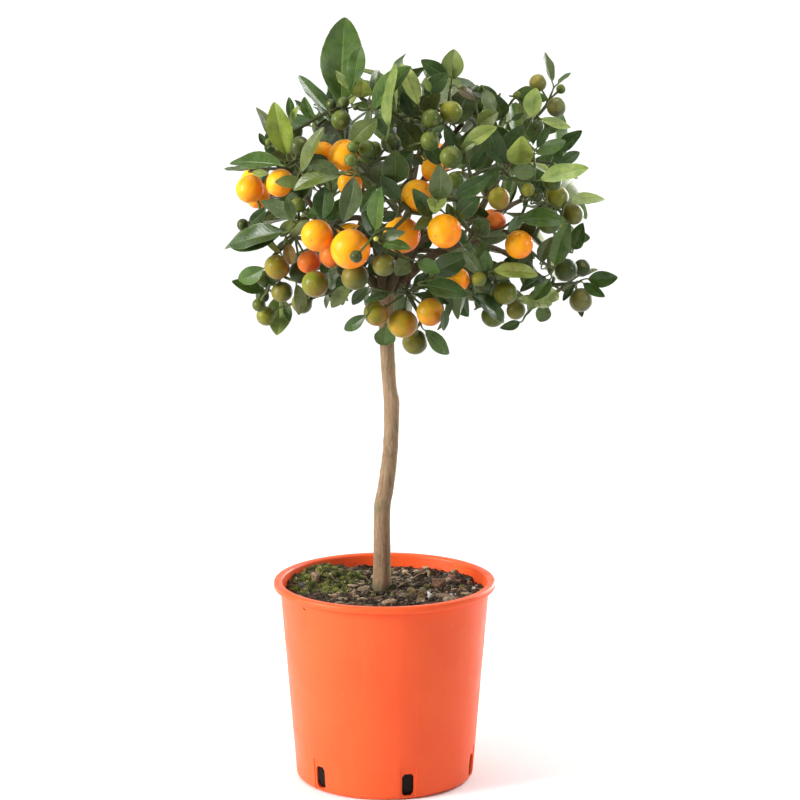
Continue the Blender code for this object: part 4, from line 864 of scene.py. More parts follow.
def add_fruit(build, fruit, slot, tint, draw):
    """A fruit with its dimple at the stalk, low creases round it and a shallow far end.

    Its tint is painted lighter on the side that faces the key light and darker on the far side: painted light
    and shade.
    """
    sides, rings = FRUIT_MESH[fruit.ripe]
    lumps = draw.uniform(*FRUIT_LUMPS[fruit.ripe])
    creases = draw.choice((7, 8, 9))
    shift = drawn_shift(draw, 50)
    grain = draw.random()
    across, other = frame_across(fruit.pole)
    corners = []
    places = []
    tints = []
    for ring in range(rings + 1):
        polar = pi * (ring + 0.25 if ring == 0 else ring - 0.25 if ring == rings else ring) / rings
        for side in range(sides):
            turn = 2 * pi * side / sides
            out = (across * cos(turn) + other * sin(turn)) * sin(polar)
            way = out + fruit.pole * cos(polar) * FRUIT_FLATNESS
            share = 1 - DIMPLE_DEPTH * exp(-(polar / DIMPLE_WIDTH) ** 2)
            share -= END_DEPTH * exp(-((pi - polar) / END_WIDTH) ** 2)
            share += lumps * noise.noise(way * 1.7 + shift) - lumps * 0.5
            share += CREASE_DEPTH * cos(creases * turn) * exp(-((polar - CREASE_MIDDLE) / CREASE_WIDTH) ** 2)
            corners.append(fruit.centre + way * fruit.radius * min(share, 1.0))
            places.append(Vector((ring / rings, side / sides, grain)))
            # Painted light: how much this spot faces the key light, with a little noise
            painted_light = 0.5 + 0.5 * way.dot(PAINTED_LIGHT_SIDE) + 0.25 * noise.noise(way * 2.2 - shift)
            painted_light = min(max(painted_light, 0.0), 1.0) ** 1.3
            change = [low + (high - low) * painted_light for low, high in zip(PAINTED_SHADE_TINTS[fruit.ripe], PAINTED_LIT_TINTS[fruit.ripe])]
            tints.append(tuple(min(1.0, value * part) for value, part in zip(tint, change)) + (tint[3],))
    build.add(corners, [face[::-1] for face in closed_faces(rings + 1, sides)], slot, tints, places)


# A calyx as rings: reach from its middle as a share, and height
CALYX_ROWS = ((0.0, -0.0002), (0.45, 0.0004), (1.0, 0.0001), (0.42, 0.0012), (0.0, 0.0020))
CALYX_SIDES = 10
LARGEST_CALYX = 0.0036


def add_calyx(build, fruit, slot, tint, draw):
    """A small five-pointed star where the stalk meets the fruit, with a button on it."""
    across, other = frame_across(fruit.pole)
    size = min(LARGEST_CALYX, 0.0011 + fruit.radius * 0.17)
    seat = fruit.centre + fruit.pole * fruit.radius * (FRUIT_FLATNESS - 0.065)
    start = draw.random() * WHOLE_TURN
    corners = []
    for reach, height in CALYX_ROWS:
        for point in range(CALYX_SIDES):
            turn = start + 2 * pi * point / CALYX_SIDES
            long = 1.0 if point % 2 == 0 else 0.52
            out = across * cos(turn) + other * sin(turn)
            spread = max(0.12, reach * (long if reach == 1.0 else 1.0)) * size
            corners.append(seat + out * spread + fruit.pole * (height + size * 0.22 * reach ** 2))
    build.add(corners, closed_faces(len(CALYX_ROWS), CALYX_SIDES), slot, tint)


# Materials

class Shade:
    """A material with a few plain ways to wire its nodes."""

    def __init__(self, name, roughness, **constants):
        self.material = bpy.data.materials.new(name)
        self.material.use_nodes = True
        self.nodes = self.material.node_tree.nodes
        self.links = self.material.node_tree.links
        self.shader = self.nodes["Principled BSDF"]
        self.shader.inputs["Roughness"].default_value = roughness
        for socket, value in constants.items():
            self.shader.inputs[socket.replace("_", " ")].default_value = value

    def feed(self, socket, value):
        if isinstance(value, bpy.types.NodeSocket):
            self.links.new(value, socket)
        else:
            socket.default_value = value

    def node(self, kind, inputs, **settings):
        made = self.nodes.new(kind)
        for key, value in settings.items():
            setattr(made, key, value)
        for key, value in inputs.items():
            self.feed(made.inputs[key], value)
        return made

    def attribute(self, name):
        return self.node("ShaderNodeAttribute", {}, attribute_name=name)

    def tint(self):
        return self.attribute("tint").outputs["Color"]

    def place(self):
        """The place on a leaf, a fruit or a tube, as three numbers."""
        return self.split(self.attribute("place").outputs["Vector"])

    def position(self, stretch=(1, 1, 1)):
        spot = self.node("ShaderNodeNewGeometry", {}).outputs["Position"]
        return self.node("ShaderNodeVectorMath", {0: spot, 1: stretch}, operation="MULTIPLY").outputs[0]

    def split(self, vector):
        return self.node("ShaderNodeSeparateXYZ", {0: vector}).outputs

    def maths(self, operation, first, second=0.0, third=0.0):
        return self.node("ShaderNodeMath", {0: first, 1: second, 2: third}, operation=operation).outputs[0]

    def times(self, first, second):
        return self.maths("MULTIPLY", first, second)

    def plus(self, first, second):
        return self.maths("ADD", first, second)

    def ramp(self, value, low, high, start=0.0, end=1.0):
        inputs = {"Value": value, "From Min": low, "From Max": high, "To Min": start, "To Max": end}
        return self.node("ShaderNodeMapRange", inputs, interpolation_type="SMOOTHSTEP").outputs[0]

    def mix(self, share, first, second, blend="MIX"):
        first, second = [(*value, 1.0) if isinstance(value, tuple) else value for value in (first, second)]
        inputs = {0: share, 6: first, 7: second}
        return self.node("ShaderNodeMix", inputs, data_type="RGBA", blend_type=blend).outputs[2]

    def filtered(self, colour, other):
        return self.mix(1.0, colour, other, "MULTIPLY")

    def stain(self, colour, mask, strength, other):
        """The colour with another one laid on where the mask is."""
        return self.mix(self.times(mask, strength), colour, other)

    def noise(self, scale, detail, vector=None, roughness=0.55):
        inputs = {"Vector": vector or self.position(), "Scale": scale, "Detail": detail}
        return self.node("ShaderNodeTexNoise", {**inputs, "Roughness": roughness}).outputs[0]

    def grained(self, stretch, detail, roughness):
        """Noise that is finer across than along, by how much it is stretched."""
        return self.noise(1.0, detail, self.position(stretch), roughness)

    def patches(self, scale, detail, low, high, start=0.0, end=1.0):
        """Noise cut between two levels, which leaves patches."""
        return self.ramp(self.noise(scale, detail), low, high, start, end)

    def specks(self, colour, patches, strength, other):
        """The colour with patches of another one; patches has noise scale, detail and two levels."""
        return self.stain(colour, self.patches(*patches), strength, other)

    def cells(self, scale):
        inputs = {"Vector": self.position(), "Scale": scale}
        return self.node("ShaderNodeTexVoronoi", inputs).outputs["Distance"]

    def finish(self, colour, roughness, height, depth, strength):
        """The material with its colour, its roughness, and its relief from a height."""
        inputs = {"Height": height, "Distance": depth, "Strength": strength}
        relief = self.node("ShaderNodeBump", inputs).outputs[0]
        for key, value in (("Base Color", colour), ("Roughness", roughness), ("Normal", relief)):
            if value is not None:
                self.links.new(value, self.shader.inputs[key])
        return self.material


def leaf_material(name, lower):
    """Waxy blade with midrib, side veins, mottling and quilting; the lower face is paler and duller."""
    shade = Shade(name, 0.4, Specular_IOR_Level=0.27, Coat_Weight=0.0 if lower else 0.03, Coat_Roughness=0.16)
    along, across, grain = shade.place()
    out = shade.maths("ABSOLUTE", across)
    rib = shade.ramp(out, 0.015, 0.075, 1.0, 0.0)
    slant = shade.maths("SUBTRACT", shade.times(along, 11.0), shade.times(out, 2.6))
    slant = shade.plus(slant, shade.times(grain, 5.0))
    swing = shade.maths("ABSOLUTE", shade.maths("SINE", shade.times(slant, pi)))
    veins = shade.ramp(swing, 0.0, 0.20, 1.0, 0.0)
    veins = shade.times(veins, shade.ramp(out, 0.55, 0.95, 1.0, 0.15))
    lines = shade.maths("MAXIMUM", rib, shade.times(veins, 0.30 if lower else 0.14))
    tint = shade.tint()
    if lower:
        tint = shade.mix(0.45, tint, (0.115, 0.150, 0.035))
    deep = shade.filtered(tint, (0.62, 0.70, 0.62))
    pale = shade.mix(0.36, tint, (0.26, 0.34, 0.08))
    colour = shade.mix(shade.patches(95.0, 4.0, 0.40, 0.68), tint, deep)
    colour = shade.stain(colour, lines, 0.60, pale)
    colour = shade.specks(colour, (620.0, 2.0, 0.66, 0.74), 0.30, (0.26, 0.28, 0.12))
    colour = shade.stain(colour, shade.ramp(out, 0.955, 0.995), 0.42, (0.40, 0.48, 0.17))
    quilt = shade.times(swing, shade.ramp(out, 0.0, 0.35))
    sink = shade.times(lines, 0.7 if lower else -0.8)
    height = shade.plus(shade.times(quilt, 0.16), sink)
    height = shade.plus(height, shade.times(shade.noise(260.0, 3.0), 0.45))
    dull = shade.patches(160.0, 3.0, 0.35, 0.70, *((0.46, 0.66) if lower else (0.24, 0.42)))
    return shade.finish(colour, dull, height, 0.00045, 0.8)


def peel_material(name, ripe):
    """Citrus peel: pitted by its oil glands, blotched where it turns, brown at the far scar."""
    shade = Shade(name, 0.35, Specular_IOR_Level=0.16, Coat_Weight=0.05, Coat_Roughness=0.18,
                  Subsurface_Weight=0.10 if ripe else 0.04,
                  Subsurface_Scale=0.004, Subsurface_Radius=(1.0, 0.45, 0.15))
    down, _, _ = shade.place()
    paint = shade.attribute("tint")
    tint = paint.outputs["Color"]
    other = shade.filtered(tint, (0.50, 0.95, 0.60) if ripe else (0.55, 0.62, 0.60))
    colour = shade.stain(tint, shade.patches(70.0, 3.0, 0.44, 0.62), paint.outputs["Alpha"], other)
    glands = shade.cells(760.0)
    dots = shade.ramp(glands, 0.10, 0.42, 1.0, 0.0)
    gland = shade.filtered(tint, (0.80, 0.66, 0.60)) if ripe else (0.20, 0.24, 0.06)
    colour = shade.stain(colour, dots, 0.30 if ripe else 0.26, gland)
    top = shade.ramp(down, 0.02, 0.13, 1.0, 0.0)
    colour = shade.stain(colour, top, 0.45, (0.30, 0.30, 0.03) if ripe else (0.10, 0.15, 0.03))
    scar = shade.ramp(down, *((0.978, 0.988) if ripe else (0.955, 0.975)))
    colour = shade.stain(colour, scar, 0.6 if ripe else 0.9, (0.16, 0.085, 0.035))
    ring = shade.times(shade.ramp(down, 0.90, 0.95), shade.ramp(down, 0.955, 0.985, 1.0, 0.0))
    colour = shade.stain(colour, ring, 0.08 if ripe else 0.30, (0.36, 0.33, 0.10))
    colour = shade.specks(colour, (190.0, 4.0, 0.70, 0.78), 0.35, (0.25, 0.14, 0.05))
    height = shade.plus(shade.ramp(glands, 0.0, 0.5), shade.times(shade.noise(210.0, 3.0), 0.8))
    dull = shade.patches(300.0, 3.0, 0.3, 0.7, 0.27, 0.40)
    return shade.finish(colour, dull, height, 0.00022, 0.75)


def twig_material():
    """Green young wood, ridged along its length and browned in places."""
    shade = Shade("young_twig", 0.5, Specular_IOR_Level=0.25)
    turn, _, _ = shade.place()
    tint = shade.tint()
    brown = shade.patches(120.0, 4.0, 0.46, 0.66)
    colour = shade.stain(tint, brown, 0.55, (0.085, 0.070, 0.030))
    colour = shade.specks(colour, (1500.0, 2.0, 0.60, 0.72), 0.45, (0.30, 0.31, 0.17))
    ridges = shade.maths("SINE", shade.times(turn, 2 * pi * 5))
    height = shade.plus(shade.times(ridges, 0.35), shade.noise(900.0, 3.0))
    return shade.finish(colour, shade.ramp(brown, 0.0, 1.0, 0.42, 0.70), height, 0.0003, 0.7)


def bark_material():
    """Grey-brown bark with long dark cracks, pale ridges, green film and small corky dots."""
    shade = Shade("bark", 0.8, Specular_IOR_Level=0.15)
    tint = shade.tint()
    grain = shade.grained((330, 330, 34), 5.0, 0.6)
    fine = shade.grained((1100, 1100, 150), 4.0, 0.6)
    patch = shade.patches(38.0, 3.0, 0.40, 0.64)
    colour = shade.mix(patch, (0.300, 0.205, 0.110), (0.225, 0.150, 0.080))
    colour = shade.mix(shade.ramp(fine, 0.48, 0.72), colour, (0.40, 0.300, 0.180))
    colour = shade.stain(colour, shade.ramp(grain, 0.34, 0.44, 1.0, 0.0), 0.50, (0.085, 0.062, 0.036))
    colour = shade.specks(colour, (60.0, 3.0, 0.52, 0.70), 0.40, (0.150, 0.165, 0.075))
    dots = shade.ramp(shade.cells(420.0), 0.06, 0.16, 1.0, 0.0)
    colour = shade.stain(colour, dots, 0.55, (0.46, 0.36, 0.23))
    colour = shade.filtered(colour, tint)
    # Bark darker just above the soil.
    above = shade.plus(shade.split(shade.position())[2], shade.times(patch, 0.005))
    darker_near_soil = shade.ramp(above, SOIL_LEVEL + 0.003, SOIL_LEVEL + 0.016, 0.80, 0.0)
    colour = shade.mix(darker_near_soil, colour, (0.070, 0.066, 0.034))
    height = shade.plus(shade.ramp(grain, 0.32, 0.60), shade.times(fine, 0.5))
    return shade.finish(colour, shade.ramp(fine, 0.3, 0.7, 0.72, 0.92), height, 0.0006, 0.8)


def pot_material():
    """Moulded orange plastic with faint flow and scuffs, and soil dust on its inner wall and low corner."""
    shade = Shade("moulded_plastic", 0.38, Specular_IOR_Level=0.26, Subsurface_Weight=0.10,
                  Subsurface_Scale=0.006, Subsurface_Radius=(1.0, 0.3, 0.1))
    x, y, z = shade.split(shade.position())
    reach = shade.maths("SQRT", shade.plus(shade.times(x, x), shade.times(y, y)))
    colour = shade.mix(shade.patches(16.0, 3.0, 0.35, 0.70), (0.88, 0.106, 0.022), (0.84, 0.094, 0.018))
    flow = shade.ramp(shade.grained((90, 90, 7), 3.0, 0.55), 0.50, 0.75)
    colour = shade.stain(colour, flow, 0.35, (0.90, 0.122, 0.030))
    scuff = shade.ramp(shade.grained((420, 420, 130), 4.0, 0.7), 0.665, 0.72)
    colour = shade.stain(colour, scuff, 0.45, (0.95, 0.30, 0.15))
    colour = shade.specks(colour, (520.0, 2.0, 0.76, 0.80), 0.3, (0.34, 0.085, 0.040))
    middle = shade.maths("MULTIPLY_ADD", z, WALL_SLOPE, BASE_RADIUS - CORNER_RADIUS * WALL_SLOPE - WALL * 0.5)
    inner = shade.ramp(shade.maths("SUBTRACT", reach, middle), -0.0002, 0.0002, 1.0, 0.0)
    dust = shade.times(inner, shade.ramp(z, SOIL_LEVEL, SOIL_LEVEL + 0.008, 0.9, 0.25))
    dust = shade.times(dust, shade.patches(430.0, 3.0, 0.60, 0.70))
    colour = shade.stain(colour, dust, 0.7, (0.12, 0.05, 0.030))
    low = shade.times(shade.ramp(z, 0.001, 0.007, 1.0, 0.0), shade.patches(150.0, 4.0, 0.45, 0.65))
    colour = shade.stain(colour, low, 0.35, (0.42, 0.10, 0.05))
    height = shade.plus(shade.noise(700.0, 2.0), shade.times(scuff, -0.8))
    height = shade.plus(height, shade.times(shade.noise(60.0, 2.0), 1.5))
    dull = shade.plus(shade.patches(45.0, 3.0, 0.3, 0.7, 0.36, 0.46), shade.times(scuff, 0.15))
    return shade.finish(colour, dull, height, 0.00012, 0.6)


# Painted shade: the soil low in the pot, seen through the slots, is darkened almost to black below these
# heights
SLOT_SHADE_HEIGHT = 0.034
SLOT_SHADE_COLOUR = (0.010, 0.009, 0.009)


def ground_material(name, pale, deep, scale, bump_size, shade_low=False):
    """Loose organic matter: tinted, blotched at two sizes and rough all over, and, if asked, darkened low in
    the pot as painted shade.
    """
    shade = Shade(name, 0.92, Specular_IOR_Level=0.12)
    tint = shade.tint()
    blotch = shade.patches(scale, 5.0, 0.36, 0.66)
    fine = shade.noise(scale * 4.5, 3.0)
    colour = shade.mix(blotch, shade.filtered(tint, deep), tint)
    colour = shade.stain(colour, shade.ramp(fine, 0.58, 0.74), 0.5, pale)
    # Painted shade low in the pot
    if shade_low:
        height = shade.split(shade.position())[2]
        colour = shade.mix(shade.ramp(height, SLOT_SHADE_HEIGHT, SLOT_SHADE_HEIGHT * 2, 0.85, 0.0), colour, SLOT_SHADE_COLOUR)
    height = shade.plus(blotch, shade.times(fine, 0.9))
    return shade.finish(colour, shade.ramp(fine, 0.3, 0.7, 0.80, 0.98), height, bump_size, 0.9)


# Trunk and limbs

TRUNK_STEPS = 22
TRUNK_SIDES = 44
LIMB_STEPS = 9
LIMB_SIDES = 14
KNOT_DEPTH = -0.0065
KNOT_SCALE = 0.00062
KNOT_SPREAD = 1.5
KNOT_RISE = 0.55
KNOT_DIP = 0.20
# Knots at the sides and the back: pixel across, pixel down, depth and size in metres
KNOTS_BEHIND = ((381, 470, 0.0065, 0.003), (396, 365, 0.0055, 0.0026), (384, 440, 0.006, 0.003))
# Ridges as a share of the radius, with how fine they are round and along the trunk
TRUNK_ROUGHNESS = ((0.060, 1.3, 14), (0.030, 4, 60), (0.018, 9, 240))
TRUNK_TINT = (0.96, 0.92, 0.98, 0.0)
# The limbs' bark is darkened far below the trunk's: painted shade of the crown's inside.
LIMB_SHADE_TINT = (0.36, 0.38, 0.38, 0.0)
FLARE = 0.07
FLARE_HEIGHT = 0.012


def build_trunk(points, radii, limbs, bark):
    """Trunk with ridges, knots and a flared foot, and the limbs that leave its head."""
    build = Builder()
    knots = [(seen_at(across, down, KNOT_DEPTH), size * KNOT_SCALE) for across, down, size in KNOTS_SEEN]
    knots += [(seen_at(across, down, depth), size) for across, down, depth, size in KNOTS_BEHIND]

    def relief(point, out, radius):
        reach = 1
        for size, round_it, along_it in TRUNK_ROUGHNESS:
            reach += size * noise.noise(Vector((out.x * round_it, out.y * round_it, point.z * along_it)))
        reach += FLARE * exp(-max(0.0, point.z - SOIL_LEVEL) / FLARE_HEIGHT)
        for knot, size in knots:
            away = (point + out * radius - knot).length / (size * KNOT_SPREAD)
            reach += size * KNOT_RISE / radius * exp(-away * away)
            reach -= size * KNOT_DIP / radius * exp(-(away * 2.8) ** 2)
        return reach

    smooth, widths = smooth_route(points, radii, TRUNK_STEPS)
    add_tube(build, smooth, widths, TRUNK_SIDES, 0, TRUNK_TINT, relief)
    for number, (route, sizes) in enumerate(limbs):
        smooth, widths = smooth_route(route, sizes, LIMB_STEPS)
        shift = number * 5.3

        def limb_relief(point, out, radius):
            rough = noise.noise(Vector((out.x * 2 + shift, out.y * 2 + out.z * 2, point.length * 120)))
            return 1 + 0.10 * rough

        add_tube(build, smooth, widths, LIMB_SIDES, 0, LIMB_SHADE_TINT, limb_relief)
    build.make("trunk_bark", [bark], ["trunk"])


# Sprays

# The young twigs' green is kept darker for the crown's inside: partly painted shade.
TWIG_GREEN_SHADE_TINT = (0.050, 0.066, 0.018, 0.0)
STALK_TINT = (0.085, 0.115, 0.022, 0.0)
CALYX_TINT = (0.075, 0.100, 0.024, 0.0)
TWIG_STEPS = 6
TWIG_SIDES = 9
LEAF_STALK_RADII = (0.0012, 0.00075, 0.0007)
FRUIT_STALK_RADII = (0.0012, 0.0010, 0.0012)
HIDDEN_TONES = "dddddddmmo"
# Light comes through the leaves at the crown's sides, beyond this many pixels from its middle
EDGE_TONES = "ddmmmoop"
EDGE_LEAVES = (410, 95)


def twig_relief(point, out, radius):
    return 1 + 0.13 * noise.noise(point * 170 + out * 0.6)


def build_spray(name, twigs, materials):
    """One leafy spray: its twigs, leaf stalks, blades, unripe fruits and the stars of every fruit on it."""
    draw = random.Random(SEED + sum(ord(letter) for letter in name) * 7)
    build = Builder()
    for points, radii in twigs.runs():
        smooth, widths = smooth_route(points, radii, TWIG_STEPS)
        widths[-1] *= 0.6
        add_tube(build, smooth, widths, TWIG_SIDES, 2, TWIG_GREEN_SHADE_TINT, twig_relief)
    for leaf in twigs.leaves:
        tone = None if leaf.inner else tone_at(leaf.tip, LEAF_TIPS, None)
        edge = abs(pixel_of(leaf.tip).x - EDGE_LEAVES[0]) > EDGE_LEAVES[1]
        tone = tone or draw.choice(EDGE_TONES if edge else HIDDEN_TONES)
        add_leaf(build, leaf, shaded(LEAF_COLOURS[tone], draw), draw)
        bend = leaf.foot - leaf.along * (leaf.foot - leaf.root).length * 0.35
        end = leaf.foot + leaf.along * (leaf.tip - leaf.foot).length * 0.05
        smooth, widths = smooth_route([leaf.root, bend, end], LEAF_STALK_RADII, 4)
        add_tube(build, smooth, widths, 6, 2, STALK_TINT)
    for fruit in twigs.fruits:
        if not fruit.ripe:
            tone = tone_at(fruit.centre, UNRIPE, "M")
            add_fruit(build, fruit, 3, shaded(FRUIT_COLOURS[tone], draw, 0.09, 0.55), draw)
        seat = fruit.centre + fruit.pole * fruit.radius * (FRUIT_FLATNESS - 0.03)
        bend = fruit.stalk_end() + fruit.pole * 0.001
        smooth, widths = smooth_route([fruit.root, bend, seat], FRUIT_STALK_RADII, 5)
        add_tube(build, smooth, widths, 7, 2, STALK_TINT)
        add_calyx(build, fruit, 2, CALYX_TINT, draw)
    build.make("leafy_" + name, materials, ["spray_" + name])


# Pot

PANEL_HALF = 0.0074
PANEL_TOP = 0.0325
PANEL_DEPTH = 0.0008
PANEL_STEP = 0.0004
BEAD_ROUNDING = 0.0018
BEVEL = 0.0006
POT_SIDES = 132
SHARP_EDGE = radians(40)


def arc(middle, radius, start, end, count):
    """Points of a profile round a corner, as (radius, height)."""
    turns = [radians(start + (end - start) * step / (count - 1)) for step in range(count)]
    return [(middle[0] + radius * cos(turn), middle[1] + radius * sin(turn)) for turn in turns]


def pot_profile():
    """The pot's section, from the middle of its base to the middle of its floor, and its low rows."""
    lip_low = POT_HEIGHT - LIP_HEIGHT
    inner_top = WALL_TOP_RADIUS - WALL
    corner_middle = BASE_RADIUS - CORNER_RADIUS
    profile = [(0.0, 0.0), (BASE_PAD_RADIUS - BEVEL, 0.0), (BASE_PAD_RADIUS, BEVEL / 2),
               (BASE_PAD_RADIUS + 0.001, BASE_GROOVE_DEPTH), (FOOT_RING_INNER - 0.001, BASE_GROOVE_DEPTH),
               (FOOT_RING_INNER, BEVEL / 2), (FOOT_RING_INNER + BEVEL, 0.0)]
    profile += arc((corner_middle, CORNER_RADIUS), CORNER_RADIUS, -90, 0, 8)
    low_rows = range(len(profile) - 4, len(profile) + 4)
    levels = [0.010, 0.016, 0.024, PANEL_TOP - PANEL_STEP, PANEL_TOP, 0.038]
    levels += [0.05 + 0.0125 * step for step in range(11)]
    profile += [(BASE_RADIUS + (level - CORNER_RADIUS) * WALL_SLOPE, level) for level in levels]
    profile += [(WALL_TOP_RADIUS - 0.0001, lip_low - 0.0007), (WALL_TOP_RADIUS + 0.0007, lip_low)]
    profile += arc((RIM_RADIUS - BEAD_ROUNDING, lip_low + BEAD_ROUNDING), BEAD_ROUNDING, -90, 0, 6)
    profile += arc((RIM_RADIUS - RIM_ROUNDING, POT_HEIGHT - RIM_ROUNDING), RIM_ROUNDING, 0, 90, 8)
    profile += arc((inner_top + RIM_ROUNDING, POT_HEIGHT - RIM_ROUNDING), RIM_ROUNDING, 90, 180, 8)
    profile += [(inner_top - 0.0003, POT_HEIGHT - 0.006), (inner_top - 0.0009, POT_HEIGHT - 0.012)]
    profile += [(BASE_RADIUS - WALL + 0.0004, 0.020), (BASE_RADIUS - WALL, CORNER_RADIUS + FLOOR_THICKNESS),
                (corner_middle, FLOOR_THICKNESS), (0.0, FLOOR_THICKNESS)]
    return profile, low_rows


def build_pot(plastic):
    """The pot, with a shallow panel round each slot and the slots cut through the corner."""
    turns = {round(2 * pi * step / POT_SIDES, 5) for step in range(POT_SIDES)}
    slots = [(FIRST_SLOT_ANGLE + number * 2 * pi / SLOT_COUNT - pi / 2) % (2 * pi)
             for number in range(SLOT_COUNT)]
    half = PANEL_HALF / BASE_RADIUS
    step = PANEL_STEP / BASE_RADIUS
    for slot in slots:
        turns = {turn for turn in turns if abs(turn - slot) > half + step * 3}
        turns |= {slot + side * (half + part * step) for side in (-1, 1) for part in (0, 1)} | {slot}
    turns = sorted(turns)
    profile, low_rows = pot_profile()
    corners = []
    for index, (radius, height) in enumerate(profile):
        for turn in turns:
            reach = radius
            near = any(abs(turn - slot) < half + step / 2 for slot in slots)
            if index in low_rows and near and height < PANEL_TOP - PANEL_STEP / 2:
                reach -= PANEL_DEPTH
            corners.append(Vector((reach * cos(turn), reach * sin(turn), height)))
    faces = grid_faces(len(profile), len(turns), True)
    mesh = smooth_mesh("pot_body", [kept_inside(corner) for corner in corners], faces, [plastic])
    work = bmesh.new()
    work.from_mesh(mesh)
    bmesh.ops.remove_doubles(work, verts=work.verts, dist=1e-7)
    bmesh.ops.recalc_face_normals(work, faces=work.faces)
    work.to_mesh(mesh)
    work.free()
    pot = new_object("pot_moulding", mesh)
    high = SLOT_TOP - SLOT_SHOULDER
    low = SLOT_FOOT + SLOT_SHOULDER
    section = ((-1, low), (-0.6, SLOT_FOOT), (0.6, SLOT_FOOT), (1, low),
               (1, high), (0.6, SLOT_TOP), (-0.6, SLOT_TOP), (-1, high))
    for turn in slots:
        out = Vector((cos(turn), sin(turn), 0))
        wide = Vector((-sin(turn), cos(turn), 0)) * SLOT_WIDTH / 2
        shape = [out * reach + wide * share + Vector((0, 0, height))
                 for reach in SLOT_REACH for share, height in section]
        cutter = new_object("slot_cutter", smooth_mesh("slot_cutter", shape, closed_faces(2, len(section))))
        cut = pot.modifiers.new("slot", "BOOLEAN")
        cut.object = cutter
        cut.operation = "DIFFERENCE"
        cut.solver = "EXACT"
        graph = bpy.context.evaluated_depsgraph_get()
        result = bpy.data.meshes.new_from_object(pot.evaluated_get(graph))
        pot.modifiers.clear()
        pot.data = result
        bpy.data.objects.remove(cutter)
    pot.data.set_sharp_from_angle(angle=SHARP_EDGE)
    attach(pot, "root")
    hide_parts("pot")


# Soil and what lies on it

SOIL_SIDES = 280
SOIL_RINGS = 100
HOLE_SHARE = 0.7
GREENED = 0.8
MOSS_SPOTS = ((-0.060, 0.036, 0.044), (-0.049, 0.006, 0.023), (-0.080, 0.000, 0.020), (-0.034, 0.046, 0.020),
              (0.000, 0.082, 0.011))
TRUNK_X = seen_at(*TRUNK_SEEN[0][:2], 0.0).x
PILE_HEIGHT = 0.0022
PILE_RADIUS = 0.013
FROM_WALL = 0.003
FROM_TRUNK = 0.013
SEARCH_STEPS = 16
SEARCH_PULL = 2.2
# Crumbs on the soil's surface: how fine, which layer of the noise, and how high
CRUMBS = ((170, 4.4, 0.0022), (330, 1.7, 0.0015))
GRAINS = (640, 5.1)
GRAIN_HEIGHT = 0.0007
SETTLED = 0.0005
SOIL_TINT = (0.092, 0.068, 0.050, 0.0)
MOSS_TINT = (0.085, 0.095, 0.034, 0.0)
MOSS_TINTS = ((0.240, 0.270, 0.065), (0.360, 0.380, 0.085), (0.125, 0.140, 0.045), (0.480, 0.470, 0.160))
FOOT_MOSS_TINT = (0.110, 0.130, 0.045)
FLUFF_TINT = (0.330, 0.290, 0.310)
CHIP_TINTS = ((0.24, 0.160, 0.095), (0.36, 0.26, 0.165), (0.13, 0.090, 0.060), (0.08, 0.058, 0.043),
              (0.48, 0.37, 0.25))
CRUMB_TINTS = ((0.135, 0.100, 0.074), (0.070, 0.052, 0.039), (0.22, 0.170, 0.122), (0.036, 0.027, 0.021))
# How many bits are tried, and how many of the first ones are chips and large chips
BITS = 1250
CHIPS = 431
LARGE_CHIPS = 26
LARGER = 1.9
CHIP_SIZES = (0.0012, 0.0036)
CRUMB_SIZES = (0.0006, 0.0019)
STONES = 40
STONE_SIZES = (0.0010, 0.0026)
BITS_AT_TRUNK = 30
BIT_SIZES_AT_TRUNK = (0.0012, 0.0030)
FIBRES = 150
FIBRE_STEPS = 6
FIBRE_LENGTHS = (0.008, 0.026)
FIBRE_RADII = (0.00018, 0.00045)
FIBRE_LIFT = 0.0007
FIBRE_ARCH = 0.0018
CUSHIONS = 1500
CUSHION_RADII = (0.0012, 0.0032)
TUFT_RADII = (0.0016, 0.0026)
CUSHIONS_AT_TRUNK = 20
CUSHION_RADII_AT_TRUNK = (0.0012, 0.0024)
# Shoots on a cushion for each metre of its radius
CUSHION_SHOOTS = 9000
CUSHION_SHOOT_HEIGHTS = (0.0007, 0.0018)
CUSHION_SHOOT_HALVES = (0.0002, 0.00045)
SHOOTS = 1600
SHOOT_HEIGHTS = (0.0010, 0.0030)
SHOOT_HALVES = (0.00025, 0.0005)

# Bits the photograph shows on the soil: pixel, half width, depth and height in millimetres, and tint
SEEN_BITS = (
    (315, 580, 3.6, 2.6, 5.2, "tan"), (333, 597, 6.0, 4.5, 1.7, "tan"), (342, 599, 5.0, 3.0, 0.9, "straw"),
    (390, 604, 6.2, 4.2, 3.0, "tan"), (438, 585, 6.0, 4.6, 4.0, "clay"), (407, 599, 5.2, 4.0, 3.4, "bark"),
    (413, 594, 5.0, 4.0, 3.6, "bark"), (421, 599, 3.0, 2.6, 4.2, "bark"), (452, 578, 3.6, 2.6, 2.6, "pink"),
    (458, 582, 2.4, 2.0, 1.6, "pink"), (448, 593, 2.2, 1.8, 1.6, "pink"),
    (451, 596, 1.6, 1.2, 1.2, "white"), (455, 595, 1.3, 1.2, 1.1, "white"),
    (474, 589, 1.4, 1.2, 1.0, "white"), (458, 572, 2.4, 1.6, 1.8, "straw"),
    (429, 576, 1.2, 1.0, 3.4, "straw"), (466, 594, 5.0, 2.0, 0.9, "straw"),
    (361, 582, 4.0, 1.6, 0.8, "straw"), (362, 600, 4.4, 1.8, 0.9, "straw"),
    (331, 576, 1.4, 1.2, 1.2, "white"), (350, 572, 2.6, 1.8, 1.6, "clay"),
    (469, 584, 2.2, 1.6, 1.4, "pink"),
)
BIT_TINTS = {
    "tan": (0.42, 0.30, 0.19, 0.0), "straw": (0.46, 0.38, 0.22, 0.0), "clay": (0.26, 0.155, 0.095, 0.0),
    "bark": (0.22, 0.165, 0.085, 0.0), "white": (0.80, 0.78, 0.74, 0.0), "pink": (0.42, 0.22, 0.17, 0.0),
}
